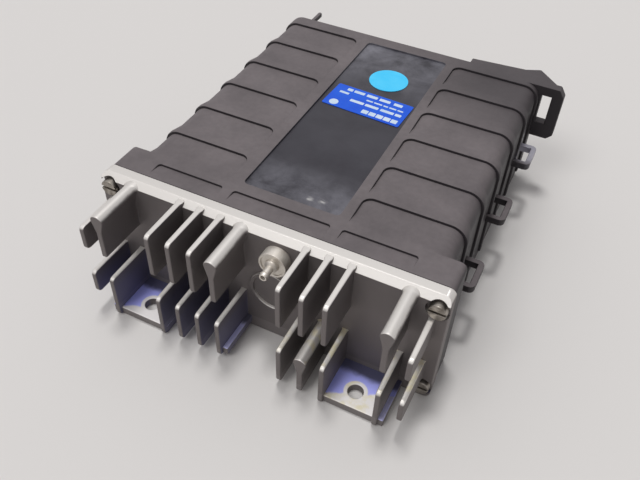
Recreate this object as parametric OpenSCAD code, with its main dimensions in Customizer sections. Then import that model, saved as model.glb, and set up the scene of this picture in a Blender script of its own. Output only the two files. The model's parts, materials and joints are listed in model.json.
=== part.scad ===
// Engine control unit. A die-cast end plate with cooling fins and two feet closes a ribbed plastic
// housing. Two circuit boards inside are joined to a plug socket at the rear, and a pressure port
// in the plate feeds a sensor on the upper board.
// X runs across the unit, Y from the fins to the socket, Z up. The origin is midway between the
// two foot holes, on the plane the unit stands on. All sizes are in millimetres.

/* [Overall] */
// Height of the unit, from its feet to the top of its ribs
unit_h = 58.5; // [56:0.5:66]

/* [Collar and end plate] */
// Width of the housing's collar, which the end plate closes
collar_w = 149; // [146:1:160]
// Length of the collar along the unit
collar_len = 13.8; // [12:0.2:20]
// Corner radius of the collar and the plate
collar_r = 3; // [1.5:0.5:4]
// Thickness of the end plate
plate_t = 7; // [5:0.5:9]
// Size of the slope along the plate's top front edge
plate_slope = 2.6; // [1:0.1:3]
// How far the plate stands proud of the collar at each side
plate_lap = 0.5; // [0:0.1:1.5]
// Depth of the three wedge-shaped grips in the collar's top
grip_depth = 1; // [0.6:0.1:2]
// Length of a grip along the unit
grip_len = 6.9; // [4:0.1:8]
// Distance of a grip from the plate
grip_start = 2; // [1:0.1:3]
// Radius of a finger grip's rear corners
grip_r = 1.2; // [1:0.1:4]

/* [Flange screws] */
// Diameter of a screw's shank
screw_d = 3.5; // [3:0.1:4]
// Diameter of a screw's head
screw_head_d = 7.2; // [6:0.1:7.4]
// Height of a screw's head
screw_head_h = 3.2; // [2:0.1:4]
// Distance of a screw's axis from the collar's side
screw_inset = 3.7; // [3.4:0.1:4.5]
// Distance of a screw's axis from the top or the bottom of the plate
screw_drop = 6.2; // [5.5:0.1:8]
// Length of thread in the collar
screw_grip = 10; // [6:0.5:11]
// Depth of the spot face under a screw's head
spot_depth = 1.8; // [1:0.1:2.5]
// Depth of a screw's slot
screw_slot = 1.2; // [0.6:0.1:1.6]
// Width of a screw's slot
screw_slot_w = 1; // [0.6:0.1:1.4]

/* [Cooling fins] */
// Distance of the outermost fins from the sides of the plate
fin_margin = 5.625; // [5:0.125:8]
// Thickness of a fin
fin_t = 2.4; // [1.8:0.1:3]
// How far the fins stand out of the plate
fin_len = 22; // [18:0.5:26]
// Height of the lower row of fins
fin_row_h = 20; // [16:0.5:22]
// Distance of the lower row from the plate's bottom edge
fin_inset = 2.4; // [1.5:0.1:4]
// Distance of the upper row from the plate's top edge
fin_drop = 0.6; // [0.4:0.1:2]
// Corner radius at a fin's front
fin_corner_r = 2; // [1:0.1:4]
// Gap between the outermost fins and the screw heads
fin_screw_gap = 0.5; // [0.3:0.1:2]
// Width of the rounded head of a clamping post
post_w = 5.6; // [4:0.1:6]
// Height over which a post's head narrows to its stem
post_neck = 6; // [4:0.1:9]

/* [Feet] */
// Thickness of a foot's plate
foot_t = 4; // [3:0.1:6]
// Diameter of a foot's fixing hole
foot_hole_d = 6.5; // [5:0.1:7]
// Distance of the hole's axis from the foot's front edge
foot_setback = 7.5; // [6:0.1:8]
// How far the feet stand out of the plate
foot_len = 20.5; // [18:0.5:24]
// Width of the toe along a foot's outer wall
toe_w = 2; // [1:0.1:3]

/* [Pressure port] */
// Offset of the port from the middle of the plate
port_x = 7; // [5:0.5:9]
// Distance of the port's axis from the top of the plate
port_drop = 10.2; // [9:0.1:12]
// Diameter of the port's flange
port_flange_d = 11.7; // [10.8:0.1:13]
// Thickness of the port's flange
port_flange_t = 5; // [3:0.1:6]
// Outer diameter of the hose nipples
nipple_d = 3.8; // [3.2:0.1:4.4]
// Free length of each hose nipple
nipple_len = 7; // [6:0.1:8]
// Bore through the port
port_bore_d = 2; // [1.4:0.1:2.4]
// Diameter of the threaded shank
port_shank_d = 8; // [7:0.1:8.4]
// Width across the flats of the nut
port_nut_w = 12; // [11:0.5:13]
// Thickness of the nut
port_nut_t = 4; // [3:0.1:5]
// Section of the sealing ring under the flange
port_seal_t = 1; // [0.6:0.1:1.5]
// Diameter of the round cast pad below the port
pad_d = 21; // [16:0.5:22]
// Height of the pad's rim
pad_rim_h = 1.2; // [0.6:0.1:2]
// Width of the pad's rim
pad_rim_w = 1.6; // [1:0.1:2.5]
// Wall of the inner hose
hose_wall = 1.6; // [1:0.1:2]

/* [Housing] */
// Length of the housing behind its collar
body_len = 137.2; // [130:0.2:160]
// Step from the collar's side in to the body's side
collar_step = 4.5; // [3.5:0.1:5]
// Radius of the body's long upper edges
edge_r = 8; // [6:0.5:12]
// Thickness of the walls between the ribs
wall = 2.6; // [2:0.1:3.2]
// Thickness of the floor
floor_t = 3; // [2.6:0.1:4]
// Thickness of the rear wall
rear_t = 3; // [2:0.1:5]
// Radius of the body's long lower edges
foot_edge_r = 3; // [1:0.5:4]
// Height above the floor at which the side ribs end
rib_end = 7; // [5:0.5:12]

/* [Ribs] */
// Distance between neighbouring ribs
rib_pitch = 22.5; // [18:0.5:30]
// Distance from the collar to the first rib
rib_first = 16.8; // [12:0.1:22]
// How far a rib stands above the panel in front of it
rib_step = 1.2; // [0.8:0.1:2]
// Width of a rib's flat top
rib_top = 2.2; // [1:0.1:4]
// Length of the slope behind a rib
rib_slope = 6.5; // [4:0.1:9]
// Width of the plain strip between the two columns of panels
strip_w = 53; // [50:0.5:60]
// Radius of a panel's inner corner
panel_r = 4; // [2:0.5:6]

/* [Labels] */
// Width of the label recess
recess_w = 42.5; // [42:0.5:48]
// Offset of the label recess from the middle
recess_x = 0.6; // [-1:0.1:1]
// Distance from the collar to the label recess
recess_start = 1.2; // [0.6:0.1:4]
// Distance from the label recess to the rear of the housing
recess_end = 7.5; // [4:0.1:12]
// Depth of the label recess
recess_depth = 0.9; // [0.6:0.1:1.4]
// Corner radius of the label recess
recess_r = 2; // [1:0.1:4]
// Width of the label
label_w = 39; // [30:0.5:40]
// Length of the label along the unit
label_len = 18.5; // [15:0.5:25]
// Distance from the collar to the label
label_start = 68.2; // [50:0.2:72]
// Offset of the label from the middle of its recess
label_x = 0.5; // [-0.6:0.1:0.6]
// Turn of the label, which was stuck on by hand
label_turn = -3; // [-4:0.5:4]
// Diameter of the round sticker
dot_d = 19; // [15:0.5:22]
// Gap between the label and the sticker
dot_gap = 5; // [3:0.2:9]
// Offset of the sticker from the middle of the recess
dot_x = 1.4; // [0:0.1:4]
// Thickness of the label and the sticker
film_t = 0.3; // [0.2:0.05:0.5]

/* [Strap loops] */
// Distance between neighbouring loops along the side
loop_pitch = 45; // [40:0.5:50]
// Length of a loop along the side
loop_len = 17; // [15:0.5:22]
// How far a loop stands out of the side
loop_reach = 8.2; // [8:0.1:10]
// Width of a loop's bars
loop_bar = 2.6; // [2:0.1:3]
// Thickness of a loop
loop_t = 3.6; // [2.5:0.1:5]

/* [Rear lug and finger] */
// Distance from the middle to the start of the hood over the socket
hood_start = 32; // [28:0.5:36]
// How far the hood stands out of the rear wall
hood_reach = 4; // [3:0.1:6]
// Thickness of the hood and of the lug's top bar
hood_t = 4; // [3:0.1:5]
// How far the lug's rear point stands out of the rear wall
lug_back = 10; // [8:0.1:12]
// How far the lug stands out of the body's side
lug_reach = 11.4; // [11:0.1:13]
// Thickness of the lug along the unit
lug_t = 5; // [4:0.1:7]
// Height of the lug, from the top down
lug_h = 28.5; // [26:0.5:32]
// Width of the slot in the lug
slot_w = 4.8; // [4.5:0.1:5.5]
// Height of the slot in the lug
slot_h = 15; // [12:0.5:17]
// Distance of the finger from the middle
finger_x = 57; // [52:0.5:60]
// How far the finger stands out of the rear wall
finger_reach = 9.5; // [6:0.5:12]
// Width of the finger
finger_w = 2; // [1.6:0.1:4]
// Height of the finger
finger_t = 2.4; // [1.6:0.1:4]

/* [Boards] */
// Thickness of a circuit board
board_t = 1.6; // [1.2:0.1:2]
// Height of the lower board's underside
board_z = 14; // [12:0.5:15]
// Free height between the two boards
board_gap = 20; // [19.5:0.5:21]
// Width of the rails that carry the lower board
rail_w = 6; // [4:0.5:8]
// Thickness of the rails
rail_t = 3; // [2:0.1:5]
// Distance between the end plate and the upper board
upper_start = 34; // [32:0.5:38]
// Width of the upper board
upper_w = 112; // [106:1:116]
// Diameter of a spacer between the boards
spacer_d = 6; // [5:0.5:7]
// Diameter of the board screws
board_screw_d = 3; // [2.5:0.1:3.2]
// Distance of a spacer from the upper board's edges
spacer_inset = 6; // [5:0.5:8]

/* [Plug socket] */
// Width of the socket's block
socket_w = 84; // [80:1:90]
// Height of the socket's block
socket_h = 21; // [20:0.5:21.5]
// Length of the socket's block inside the housing
socket_len = 18; // [16:0.5:22]
// How far the socket stands out of the rear wall
socket_out = 6; // [4:0.5:8]
// Thickness of the socket's shroud
shroud_t = 2; // [1.5:0.1:2.5]
// Step from the block in to the shroud
shroud_step = 2; // [1.5:0.1:3]
// Depth of the socket
socket_depth = 19; // [16:0.5:20]
// Distance between neighbouring blades
blade_pitch = 5.6; // [5:0.1:5.8]
// Distance between the rows of blades
row_pitch = 4; // [3.6:0.1:4.2]
// Width of a blade
blade_w = 2.4; // [1.6:0.1:2.8]
// Thickness of a blade
blade_t = 0.8; // [0.6:0.1:1]
// How far the blades stop short of the socket's rim
blade_recess = 8; // [6:0.5:10]

/* [Power transistors] */
// Distance between neighbouring transistors
power_pitch = 20; // [19:0.5:21]
// Width of a transistor's case
power_w = 15.6; // [14:0.1:15.8]
// Height of a transistor's case
power_h = 16; // [14:0.5:16.5]
// Thickness of a transistor's case
power_t = 4.8; // [4:0.1:5.5]
// Gap between the port's nut and the insulating pad below it
nut_gap = 2.8; // [2:0.1:4]
// Thickness of the insulating pad
pad_t = 0.4; // [0.2:0.05:0.8]
// Height of the clamp bar
clamp_h = 7; // [6:0.5:9]
// Thickness of the clamp bar
clamp_t = 1.2; // [0.8:0.1:2]

/* [Hidden] */
$fn = 48;

// Play between a piece and the opening it passes through
play = 0.1;
// Play of a screw in a hole that it only passes through
screw_play = 0.25;
// Overlap that joins two regions of one casting or moulding
weld = 0.5;
// Free depth of a threaded hole beyond the end of its screw
tap_room = 0.5;
// Distance between neighbouring leads of a chip or a pin row
lead_pitch = 2.54;

// Places along the unit
foot_front = -foot_setback;
plate_front = foot_front + foot_len;
fin_front = plate_front - fin_len;
fin_root = plate_front + plate_slope;
plate_back = plate_front + plate_t;
collar_back = plate_back + collar_len;
rear = collar_back + body_len;
rear_in = rear - rear_t;

// Places across the unit and above the table
plate_w = collar_w + 2 * plate_lap;
body_w = collar_w - 2 * collar_step;
core_x = body_w / 2 - edge_r;
core_z = unit_h - edge_r;
side_x = body_w / 2 - rib_step;
cavity_w = 2 * (side_x - wall);
cavity_top = unit_h - rib_step - wall;
cavity_r = max(1, edge_r - rib_step - wall);
mid_z = unit_h / 2;
grip_margin = 5;
label_r = 0.8;
label_y = collar_back + label_start + label_len / 2;
dot_y = label_y + label_len / 2 + dot_gap + dot_d / 2;
hood_bend = 11;
lug_point = 4;
lug_chamfer = 2.6;
slot_bar = 1;

// Fin positions in steps of the pitch, counted from the middle of the plate
upper_thin = [-4, -3, -2, 2, 3, 4];
upper_posts = [-6.5, -1, 6.5];
lower_thin = [-3, -2, -1, 2];
lower_posts = [3];
foot_inner = 4;
foot_outer = 6.5;
outermost = 7.5;
fin_pitch = (plate_w / 2 - fin_margin) / outermost;
foot_x = fin_pitch * (foot_inner + foot_outer) / 2;
bay_x = fin_pitch / 2;
pad_low = 2;
pad_z = mid_z - pad_low;
upper_z1 = unit_h - fin_drop;
upper_z0 = unit_h - fin_inset - fin_row_h;
lower_z0 = fin_inset;
lower_z1 = lower_z0 + fin_row_h;

// Flange screws and seal
screw_x = collar_w / 2 - screw_inset;
screw_zs = [screw_drop, unit_h - screw_drop];
screw_seat = plate_front + spot_depth;
screw_tip = plate_back + screw_grip;
spot_rim = 1.2;
spot_r = screw_head_d / 2 + spot_rim;
screw_room = screw_drop + screw_head_d / 2 + fin_screw_gap;
seal_w = 1.4;
seal_t = 1.2;
seal_gap = 0.5;

// Port
port_z = unit_h - port_drop;
port_face = plate_front - port_flange_t;
port_nut_back = plate_back + port_nut_t;
port_nut_r = port_nut_w / 2 / cos(30);
port_shank_end = port_nut_back + tap_room;
port_tail = port_shank_end + nipple_len;
hose_play = 0.05;
hose_d = nipple_d + 2 * hose_wall;

// Boards
rail_x = cavity_w / 2 - rail_w;
board_play = 0.4;
lower_w = cavity_w - 2 * board_play;
board_setback = 1;
lower_y0 = plate_back + board_setback;
lower_y1 = rear_in - board_play;
lower_top = board_z + board_t;
upper_z = lower_top + board_gap;
upper_top = upper_z + board_t;
upper_y0 = plate_back + upper_start;
socket_y0 = rear_in - socket_len;
tail_first = 2;
tail_pitch = 3;
upper_gap = 4;
tail_y = [for (r = [0:2]) socket_y0 - tail_first - r * tail_pitch];
upper_y1 = tail_y[2] - upper_gap;
spacer_x = upper_w / 2 - spacer_inset;
spacer_ys = [upper_y0 + spacer_inset, upper_y1 - spacer_inset];
bracket_x = 45;
bracket_w = 9;
bracket_y = 7;
bracket_len = 12;
bracket_t = 7;
board_head_rim = 1.2;
board_head_d = board_screw_d + 2 * board_head_rim;
board_head_h = 2;
board_slot = 0.8;
board_grip = 5;

// Plug socket
socket_z0 = lower_top;
socket_mid = socket_z0 + socket_h / 2;
shroud_w = socket_w - 2 * shroud_step;
shroud_h = socket_h - 2 * shroud_step;
socket_end = rear + socket_out;
well_y = socket_end - socket_depth;
row_counts = [12, 11, 12];
socket_r = 1;
blade_tip = socket_end - blade_recess;
function row_z(r) = socket_mid + (r - 1) * row_pitch;
// Places of the blades: the row, and the distance from the middle
blades = [for (r = [0:2]) for (i = [0:row_counts[r] - 1])
    [r, (i - (row_counts[r] - 1) / 2) * blade_pitch]];

// Power transistors
power_count = 6;
pad_over = 1;
power_z0 = port_z - port_nut_r - nut_gap - pad_over - power_h;
power_y0 = plate_back + pad_t;
power_y1 = power_y0 + power_t;
clamp_z = power_z0 + power_h / 2;
clamp_y1 = power_y1 + clamp_t;
clamp_steps = [-2, 0, 2];
clamp_hole_depth = 4.5;
clamp_hole_d = board_screw_d + 2 * screw_play;
power_row_w = (power_count - 1) * power_pitch + power_w;

// Sensor, with its nipple in line with the port
sensor_setback = 3;
sensor_y0 = upper_y0 + sensor_setback;
sensor_w = 22;
sensor_len = 24;
sensor_cap_d = 18;
sensor_cap_h = 1.5;
hose_gap = 1.5;
sensor_nipple_y = sensor_y0 - nipple_len;

// Row of pins that joins the boards, beside the right pair of spacers
bridge_count = 20;
bridge_w = 2.5;
bridge_pin_w = 0.64;
bridge_socket_h = 8.5;
bridge_gap = 4;
bridge_x = spacer_x - spacer_d - bridge_gap;
bridge_len = bridge_count * lead_pitch;
bridge_y0 = (upper_y0 + upper_y1 - bridge_len) / 2;
bridge_pin_top = upper_z - bridge_w;

// Places of the parts on the boards, counted from the boards' own edges
wide_row = 15.24;
narrow_row = 7.62;
controller_pins = 40;
memory_pins = 28;
driver_pins = 16;
controller_x = -22;
memory_x = 8;
crystal_x = -40;
chip_setback = 28;
chip_y = upper_y1 - chip_setback;
memory_lift = 4;
driver_xs = [-40, -18, 4];
driver_start = 18;
driver_step = 26;
driver_ys = [upper_y0 + driver_start, upper_y0 + driver_start + driver_step];
can_d = 10;
can_h = 17;
can_xs = [-48, -34, -20, -6];
can_gap = 7;
can_y = upper_y0 - can_gap;
film_xs = [-40, -28, -16, -4, 8];
film_start = 68;
film_y = upper_y0 + film_start;
film_size = [5, 13, 10];
resistor_x = 28;
resistor_start = 10;
resistor_step = 9;
resistor_ys = [for (i = [0:3]) upper_y0 + resistor_start + i * resistor_step];
resistor_len = 14;
resistor_d = 5;
resistor_lift = 3.5;
choke_x = 30;
choke_gap = 8;
choke_y = upper_y0 - choke_gap;

// Ribs: the distance of each rib's front wall from the front of the unit
rib_count = floor((body_len - rib_first - rib_top) / rib_pitch) + 1;
function rib_y(i) = collar_back + rib_first + i * rib_pitch;

// Outline of the ribbed skin: height above the core against the place along the unit
function rib_points(i) = [
    [edge_r - rib_step, rib_y(i)],
    [edge_r, rib_y(i)],
    [edge_r, i == rib_count - 1 ? rear : rib_y(i) + rib_top],
    [i == rib_count - 1 ? edge_r : edge_r - rib_step,
        i == rib_count - 1 ? rear : rib_y(i) + rib_top + rib_slope]
];
skin_points = concat(
    [[0, collar_back], [edge_r, collar_back], [edge_r - rib_step, collar_back + rib_slope]],
    [for (i = [0:rib_count - 1]) for (p = rib_points(i)) p],
    [[0, rear]]
);

// Rectangle with round corners, centred on X and standing on Y = 0
module rounded_rect(w, h, r) {
    translate([r - w / 2, 0]) square([w - 2 * r, h]);
    translate([-w / 2, r]) square([w, h - 2 * r]);
    for (sx = [-1, 1], y = [r, h - r]) {
        translate([sx * (w / 2 - r), y]) circle(r);
    }
}

// Extrudes an outline drawn in X and Z from one place along the unit to another
module along_y(y0, y1) {
    translate([0, y1, 0]) rotate([90, 0, 0]) linear_extrude(y1 - y0) children();
}

// Cylinder along the unit
module rod_y(x, z, d, y0, y1) {
    translate([x, y1, z]) rotate([90, 0, 0]) cylinder(d = d, h = y1 - y0);
}

// Box given by its two corners
module span(low, high) {
    translate(low) cube(high - low);
}

// Sweeps the ribbed outline down one side, round the upper edge and over the top
module ribbed_skin() {
    translate([core_x, 0, rib_end]) linear_extrude(core_z - rib_end) polygon(skin_points);
    translate([core_x, 0, core_z]) rotate([-90, 0, 0]) rotate([0, 0, -90]) {
        rotate_extrude(angle = 90) polygon(skin_points);
    }
    translate([core_x, 0, core_z]) rotate([0, -90, 0]) {
        linear_extrude(core_x - strip_w / 2 + weld) polygon(skin_points);
    }
}

// Round fillets where each rib meets the plain strip
module panel_corners() {
    for (i = [0:rib_count - 1]) {
        translate([strip_w / 2, rib_y(i), core_z]) linear_extrude(edge_r) difference() {
            translate([-weld, -panel_r]) square([panel_r + weld, panel_r + weld]);
            translate([panel_r, -panel_r]) circle(panel_r);
        }
    }
}

// Closed loop for a strap, lying level against the right side
module strap_loop(y) {
    inner = [loop_reach - loop_bar, loop_len - 2 * loop_bar];
    translate([side_x, y, mid_z - loop_t / 2]) linear_extrude(loop_t) difference() {
        union() {
            translate([-weld, -loop_len / 2]) square([loop_reach - loop_bar + weld, loop_len]);
            translate([0, loop_bar - loop_len / 2]) square([loop_reach, inner[1]]);
            for (s = [-1, 1]) {
                translate([loop_reach - loop_bar, s * (loop_len / 2 - loop_bar)]) circle(loop_bar);
            }
        }
        translate([0, -inner[1] / 2]) square(inner);
    }
}

// Slotted lug at the rear corner, and the hood that joins it to the rear wall
module rear_lug() {
    out_x = body_w / 2 + lug_reach;
    top_plan = [
        [hood_start, rear - weld], [hood_start, rear + hood_reach],
        [body_w / 2 - hood_bend, rear + hood_reach + lug_chamfer],
        [body_w / 2 - lug_point, rear + lug_back],
        [out_x - lug_chamfer, rear - lug_t / 2], [out_x - lug_chamfer, rear - lug_t],
        [core_x, rear - lug_t]
    ];
    translate([0, 0, unit_h - hood_t]) linear_extrude(hood_t) polygon(top_plan);
    along_y(rear - lug_t, rear) difference() {
        polygon([
            [core_x, unit_h - lug_h], [out_x - lug_chamfer, unit_h - lug_h],
            [out_x, unit_h - lug_h + lug_chamfer], [out_x, unit_h - hood_t],
            [out_x - lug_chamfer, unit_h], [core_x, unit_h]
        ]);
        translate([body_w / 2 + slot_bar, unit_h - hood_t - slot_bar - slot_h]) square([slot_w, slot_h]);
    }
}

// Round-nosed finger at the left of the rear wall, on which the plug hooks
module rear_finger() {
    nose = finger_w / 2;
    translate([-finger_x, rear, unit_h - finger_t]) linear_extrude(finger_t) {
        translate([-nose, -weld]) square([finger_w, finger_reach - nose + weld]);
        translate([0, finger_reach - nose]) circle(nose);
    }
}

// Outer form of the housing, before it is hollowed out
module housing_form() {
    along_y(plate_back, collar_back) rounded_rect(collar_w, unit_h, collar_r);
    span([-core_x - weld, collar_back - weld, rib_end - weld], [core_x + weld, rear, core_z + weld]);
    along_y(collar_back - weld, rear) {
        rounded_rect(2 * side_x, rib_end + foot_edge_r + weld, foot_edge_r);
    }
    span([-strip_w / 2, collar_back - weld, core_z], [strip_w / 2, rear, unit_h]);
    for (s = [0, 1]) {
        mirror([s, 0, 0]) {
            ribbed_skin();
            panel_corners();
            for (i = [-1, 0, 1]) {
                strap_loop(collar_back + body_len / 2 + i * loop_pitch);
            }
        }
    }
    rear_lug();
    rear_finger();
}

// Wedge-shaped finger grips in the top of the collar
module collar_grips() {
    y1 = plate_back + grip_start + grip_len;
    side_w = core_x - grip_margin - strip_w / 2;
    for (c = [[0, recess_w], [strip_w / 2 + side_w / 2, side_w], [-strip_w / 2 - side_w / 2, side_w]]) {
        intersection() {
            translate([c[0] + c[1], 0, unit_h]) rotate([0, -90, 0]) linear_extrude(2 * c[1]) {
                polygon([[0, y1 - grip_len], [weld, y1 - grip_len], [weld, y1 + weld], [-grip_depth, y1]]);
            }
            translate([c[0], y1 - grip_len - grip_r, unit_h - grip_depth - weld]) {
                linear_extrude(grip_depth + 3 * weld) rounded_rect(c[1], grip_len + grip_r, grip_r);
            }
        }
    }
}

// Outline of the hollow inside the housing
module cavity_outline() {
    translate([0, floor_t]) rounded_rect(cavity_w, cavity_top - floor_t, cavity_r);
}

// Outline of the groove for the flange seal, widened or narrowed all round
module seal_outline(grow) {
    w = cavity_w + 2 * (seal_gap + grow);
    z0 = floor_t - seal_gap - grow;
    translate([0, z0]) rounded_rect(w, cavity_top + seal_gap + grow - z0, cavity_r + grow);
}

// Ring between the two outlines of the seal groove
module seal_ring() {
    difference() {
        seal_outline(seal_w);
        seal_outline(0);
    }
}

module housing() {
    color("#3b3a3c") {
        difference() {
            housing_form();
            along_y(plate_back - weld, rear_in) cavity_outline();
            along_y(plate_back - weld, plate_back + seal_t) seal_ring();
            collar_grips();
            translate([recess_x, collar_back + recess_start, unit_h - recess_depth]) {
                linear_extrude(recess_depth + weld) {
                    rounded_rect(recess_w, body_len - recess_start - recess_end, recess_r);
                }
            }
            translate([0, 0, socket_mid - shroud_h / 2 - play]) along_y(rear_in - weld, rear + weld) {
                rounded_rect(shroud_w + 2 * play, shroud_h + 2 * play, shroud_t);
            }
            for (s = [-1, 1], z = screw_zs) {
                rod_y(s * screw_x, z, screw_d + play, plate_back - weld, screw_tip + tap_room);
            }
        }
        for (s = [-1, 1]) {
            span([s > 0 ? rail_x : -rail_x - rail_w - weld, lower_y0 + bracket_len, board_z - rail_t],
                [s > 0 ? rail_x + rail_w + weld : -rail_x, rear_in + weld, board_z]);
        }
    }
}

// Thin blade with a round nose, standing out of the plate
module fin(x, z0, z1) {
    nose = fin_t / 2;
    intersection() {
        translate([x, 0, z0]) linear_extrude(z1 - z0) {
            translate([-nose, fin_front + nose]) square([fin_t, fin_root - fin_front - nose]);
            translate([0, fin_front + nose]) circle(nose);
        }
        translate([x - fin_t, 0, 0]) rotate([90, 0, 90]) linear_extrude(2 * fin_t) {
            translate([fin_front, z0 + fin_corner_r]) square([fin_root - fin_front, z1 - z0 - 2 * fin_corner_r]);
            translate([fin_front + fin_corner_r, z0]) square([fin_root - fin_front - fin_corner_r, z1 - z0]);
            for (z = [z0 + fin_corner_r, z1 - fin_corner_r]) {
                translate([fin_front + fin_corner_r, z]) circle(fin_corner_r);
            }
        }
    }
}

// Fin with a thick rounded head, which ends in a flat face
module post(x, z0, z1) {
    head_r = post_w / 2;
    along_y(fin_front, fin_root) translate([x, 0]) {
        translate([0, z1 - head_r]) circle(head_r);
        polygon([
            [-head_r, z1 - head_r], [-fin_t / 2, z1 - head_r - post_neck], [-fin_t / 2, z0],
            [fin_t / 2, z0], [fin_t / 2, z1 - head_r - post_neck], [head_r, z1 - head_r]
        ]);
    }
}

// Foot on the right: a drilled plate between two walls that reach the table
module foot() {
    x0 = fin_pitch * foot_inner;
    x1 = fin_pitch * foot_outer;
    difference() {
        union() {
            span([x0 - fin_t / 2, foot_front, 0], [x1 + fin_t / 2 + toe_w, plate_front + weld, foot_t]);
            for (x = [x0, x1]) {
                span([x - fin_t / 2, fin_front + fin_corner_r, 0],
                    [x + fin_t / 2, plate_front + weld, lower_z1]);
                fin(x, 0, lower_z1);
            }
        }
        translate([foot_x, 0, -weld]) cylinder(d = foot_hole_d, h = foot_t + 2 * weld);
    }
}

// End plate with a slope along its top front edge, the spot faces under its screws and its bores
module drilled_plate() {
    difference() {
        along_y(plate_front, plate_back) rounded_rect(plate_w, unit_h, collar_r);
        translate([-plate_w, 0, 0]) rotate([90, 0, 90]) linear_extrude(2 * plate_w) {
            polygon([
                [plate_front - weld, unit_h - plate_slope - weld], [fin_root + weld, unit_h + weld],
                [plate_front - weld, unit_h + weld]
            ]);
        }
        for (s = [-1, 1], z = screw_zs) {
            rod_y(s * screw_x, z, screw_d + 2 * screw_play, plate_front - weld, plate_back + weld);
            rod_y(s * screw_x, z, 2 * spot_r, plate_front - weld, screw_seat);
        }
        rod_y(port_x, port_z, port_shank_d + 2 * play, plate_front - weld, plate_back + weld);
        rod_y(port_x, port_z, port_shank_d + 2 * play + 2 * port_seal_t,
            plate_front - weld, plate_front + port_seal_t);
        for (c = clamp_steps) {
            rod_y(c * power_pitch, clamp_z, board_screw_d + play,
                plate_back - clamp_hole_depth, plate_back + weld);
        }
    }
}

// Round pad with a raised rim, cast below the port
module cast_pad() {
    difference() {
        rod_y(bay_x, pad_z, pad_d, plate_front - pad_rim_h, plate_front + weld);
        rod_y(bay_x, pad_z, pad_d - 2 * pad_rim_w, plate_front - 2 * pad_rim_h, plate_front);
    }
}

// Low ledge along the foot of the fin beside the hose's bay
module bay_toe() {
    span([-fin_pitch, foot_front, lower_z0],
        [-fin_pitch + fin_t / 2 + toe_w, plate_front + weld, lower_z0 + foot_t]);
}

module heat_sink() {
    color("#b9b9b7") {
        drilled_plate();
        cast_pad();
        for (i = upper_thin) {
            fin(i * fin_pitch, upper_z0, upper_z1);
        }
        for (i = lower_thin) {
            fin(i * fin_pitch, lower_z0, lower_z1);
        }
        for (s = [-1, 1]) {
            fin(s * outermost * fin_pitch, upper_z0, unit_h - screw_room);
            fin(s * outermost * fin_pitch, screw_room, lower_z1);
        }
        for (i = upper_posts) {
            post(i * fin_pitch, upper_z0, upper_z1);
        }
        for (i = lower_posts) {
            post(i * fin_pitch, lower_z0, lower_z1);
        }
        for (s = [0, 1]) {
            mirror([s, 0, 0]) foot();
        }
        bay_toe();
        for (s = [-1, 1]) {
            board_bracket(s * bracket_x);
        }
    }
}

// Bracket cast on the back of the plate, to which the lower board is screwed
module board_bracket(x) {
    difference() {
        span([x - bracket_w / 2, plate_back - weld, board_z - bracket_t],
            [x + bracket_w / 2, plate_back + bracket_len, board_z]);
        translate([x, plate_back + bracket_y, board_z - board_grip - tap_room]) {
            cylinder(d = board_screw_d + play, h = board_grip + tap_room + weld);
        }
    }
}

module flange_seal() {
    color("#1c1c1c") along_y(plate_back, plate_back + seal_t) seal_ring();
}

// Cheese-head screw along the unit, with its head at the front
module flange_screw(x, z) {
    difference() {
        union() {
            rod_y(x, z, screw_head_d, screw_seat - screw_head_h, screw_seat);
            rod_y(x, z, screw_d, screw_seat - weld, screw_tip);
        }
        span([x - screw_head_d, screw_seat - screw_head_h - weld, z - screw_slot_w / 2],
            [x + screw_head_d, screw_seat - screw_head_h + screw_slot, z + screw_slot_w / 2]);
    }
}

module flange_screws() {
    color("#7d7a75") for (s = [-1, 1], z = screw_zs) {
        flange_screw(s * screw_x, z);
    }
}

// The port is turned from bar: a nipple each side of the plate, a flange and a threaded shank
module pressure_port() {
    nip = nipple_d / 2;
    tip = 0.5;
    y0 = port_face - nipple_len;
    color("#c9c8c4") translate([port_x, 0, port_z]) rotate([-90, 0, 0]) rotate_extrude() {
        polygon([
            [port_bore_d / 2, y0], [nip - tip, y0], [nip, y0 + tip], [nip, port_face],
            [port_flange_d / 2 - tip, port_face], [port_flange_d / 2, port_face + tip],
            [port_flange_d / 2, plate_front], [port_shank_d / 2, plate_front],
            [port_shank_d / 2, port_shank_end], [nip, port_shank_end],
            [nip, port_tail - tip], [nip - tip, port_tail], [port_bore_d / 2, port_tail]
        ]);
    }
}

module port_seal() {
    color("#1c1c1c") difference() {
        rod_y(port_x, port_z, port_shank_d + 2 * port_seal_t, plate_front, plate_front + port_seal_t);
        rod_y(port_x, port_z, port_shank_d + play, plate_front - weld, plate_front + 2 * port_seal_t);
    }
}

module port_nut() {
    color("#b8a76a") difference() {
        translate([port_x, port_nut_back, port_z]) rotate([90, 0, 0]) {
            cylinder(r = port_nut_r, h = port_nut_t, $fn = 6);
        }
        rod_y(port_x, port_z, port_shank_d + play, plate_back - weld, port_nut_back + weld);
    }
}

module pressure_hose() {
    color("#222222") difference() {
        rod_y(port_x, port_z, hose_d, port_shank_end + hose_gap, sensor_y0 - hose_gap);
        rod_y(port_x, port_z, nipple_d + 2 * hose_play, port_shank_end, sensor_y0);
    }
}

module pressure_sensor() {
    top = port_z + nipple_d / 2 + sensor_cap_h;
    color("#d8d2c0") difference() {
        union() {
            span([port_x - sensor_w / 2, sensor_y0, upper_top],
                [port_x + sensor_w / 2, sensor_y0 + sensor_len, top]);
            translate([port_x, sensor_y0 + sensor_len / 2, top - weld]) {
                cylinder(d = sensor_cap_d, h = sensor_cap_h + weld);
            }
            rod_y(port_x, port_z, nipple_d, sensor_nipple_y, sensor_y0 + weld);
        }
        rod_y(port_x, port_z, port_bore_d, sensor_nipple_y - weld, sensor_y0 + weld);
    }
}

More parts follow.
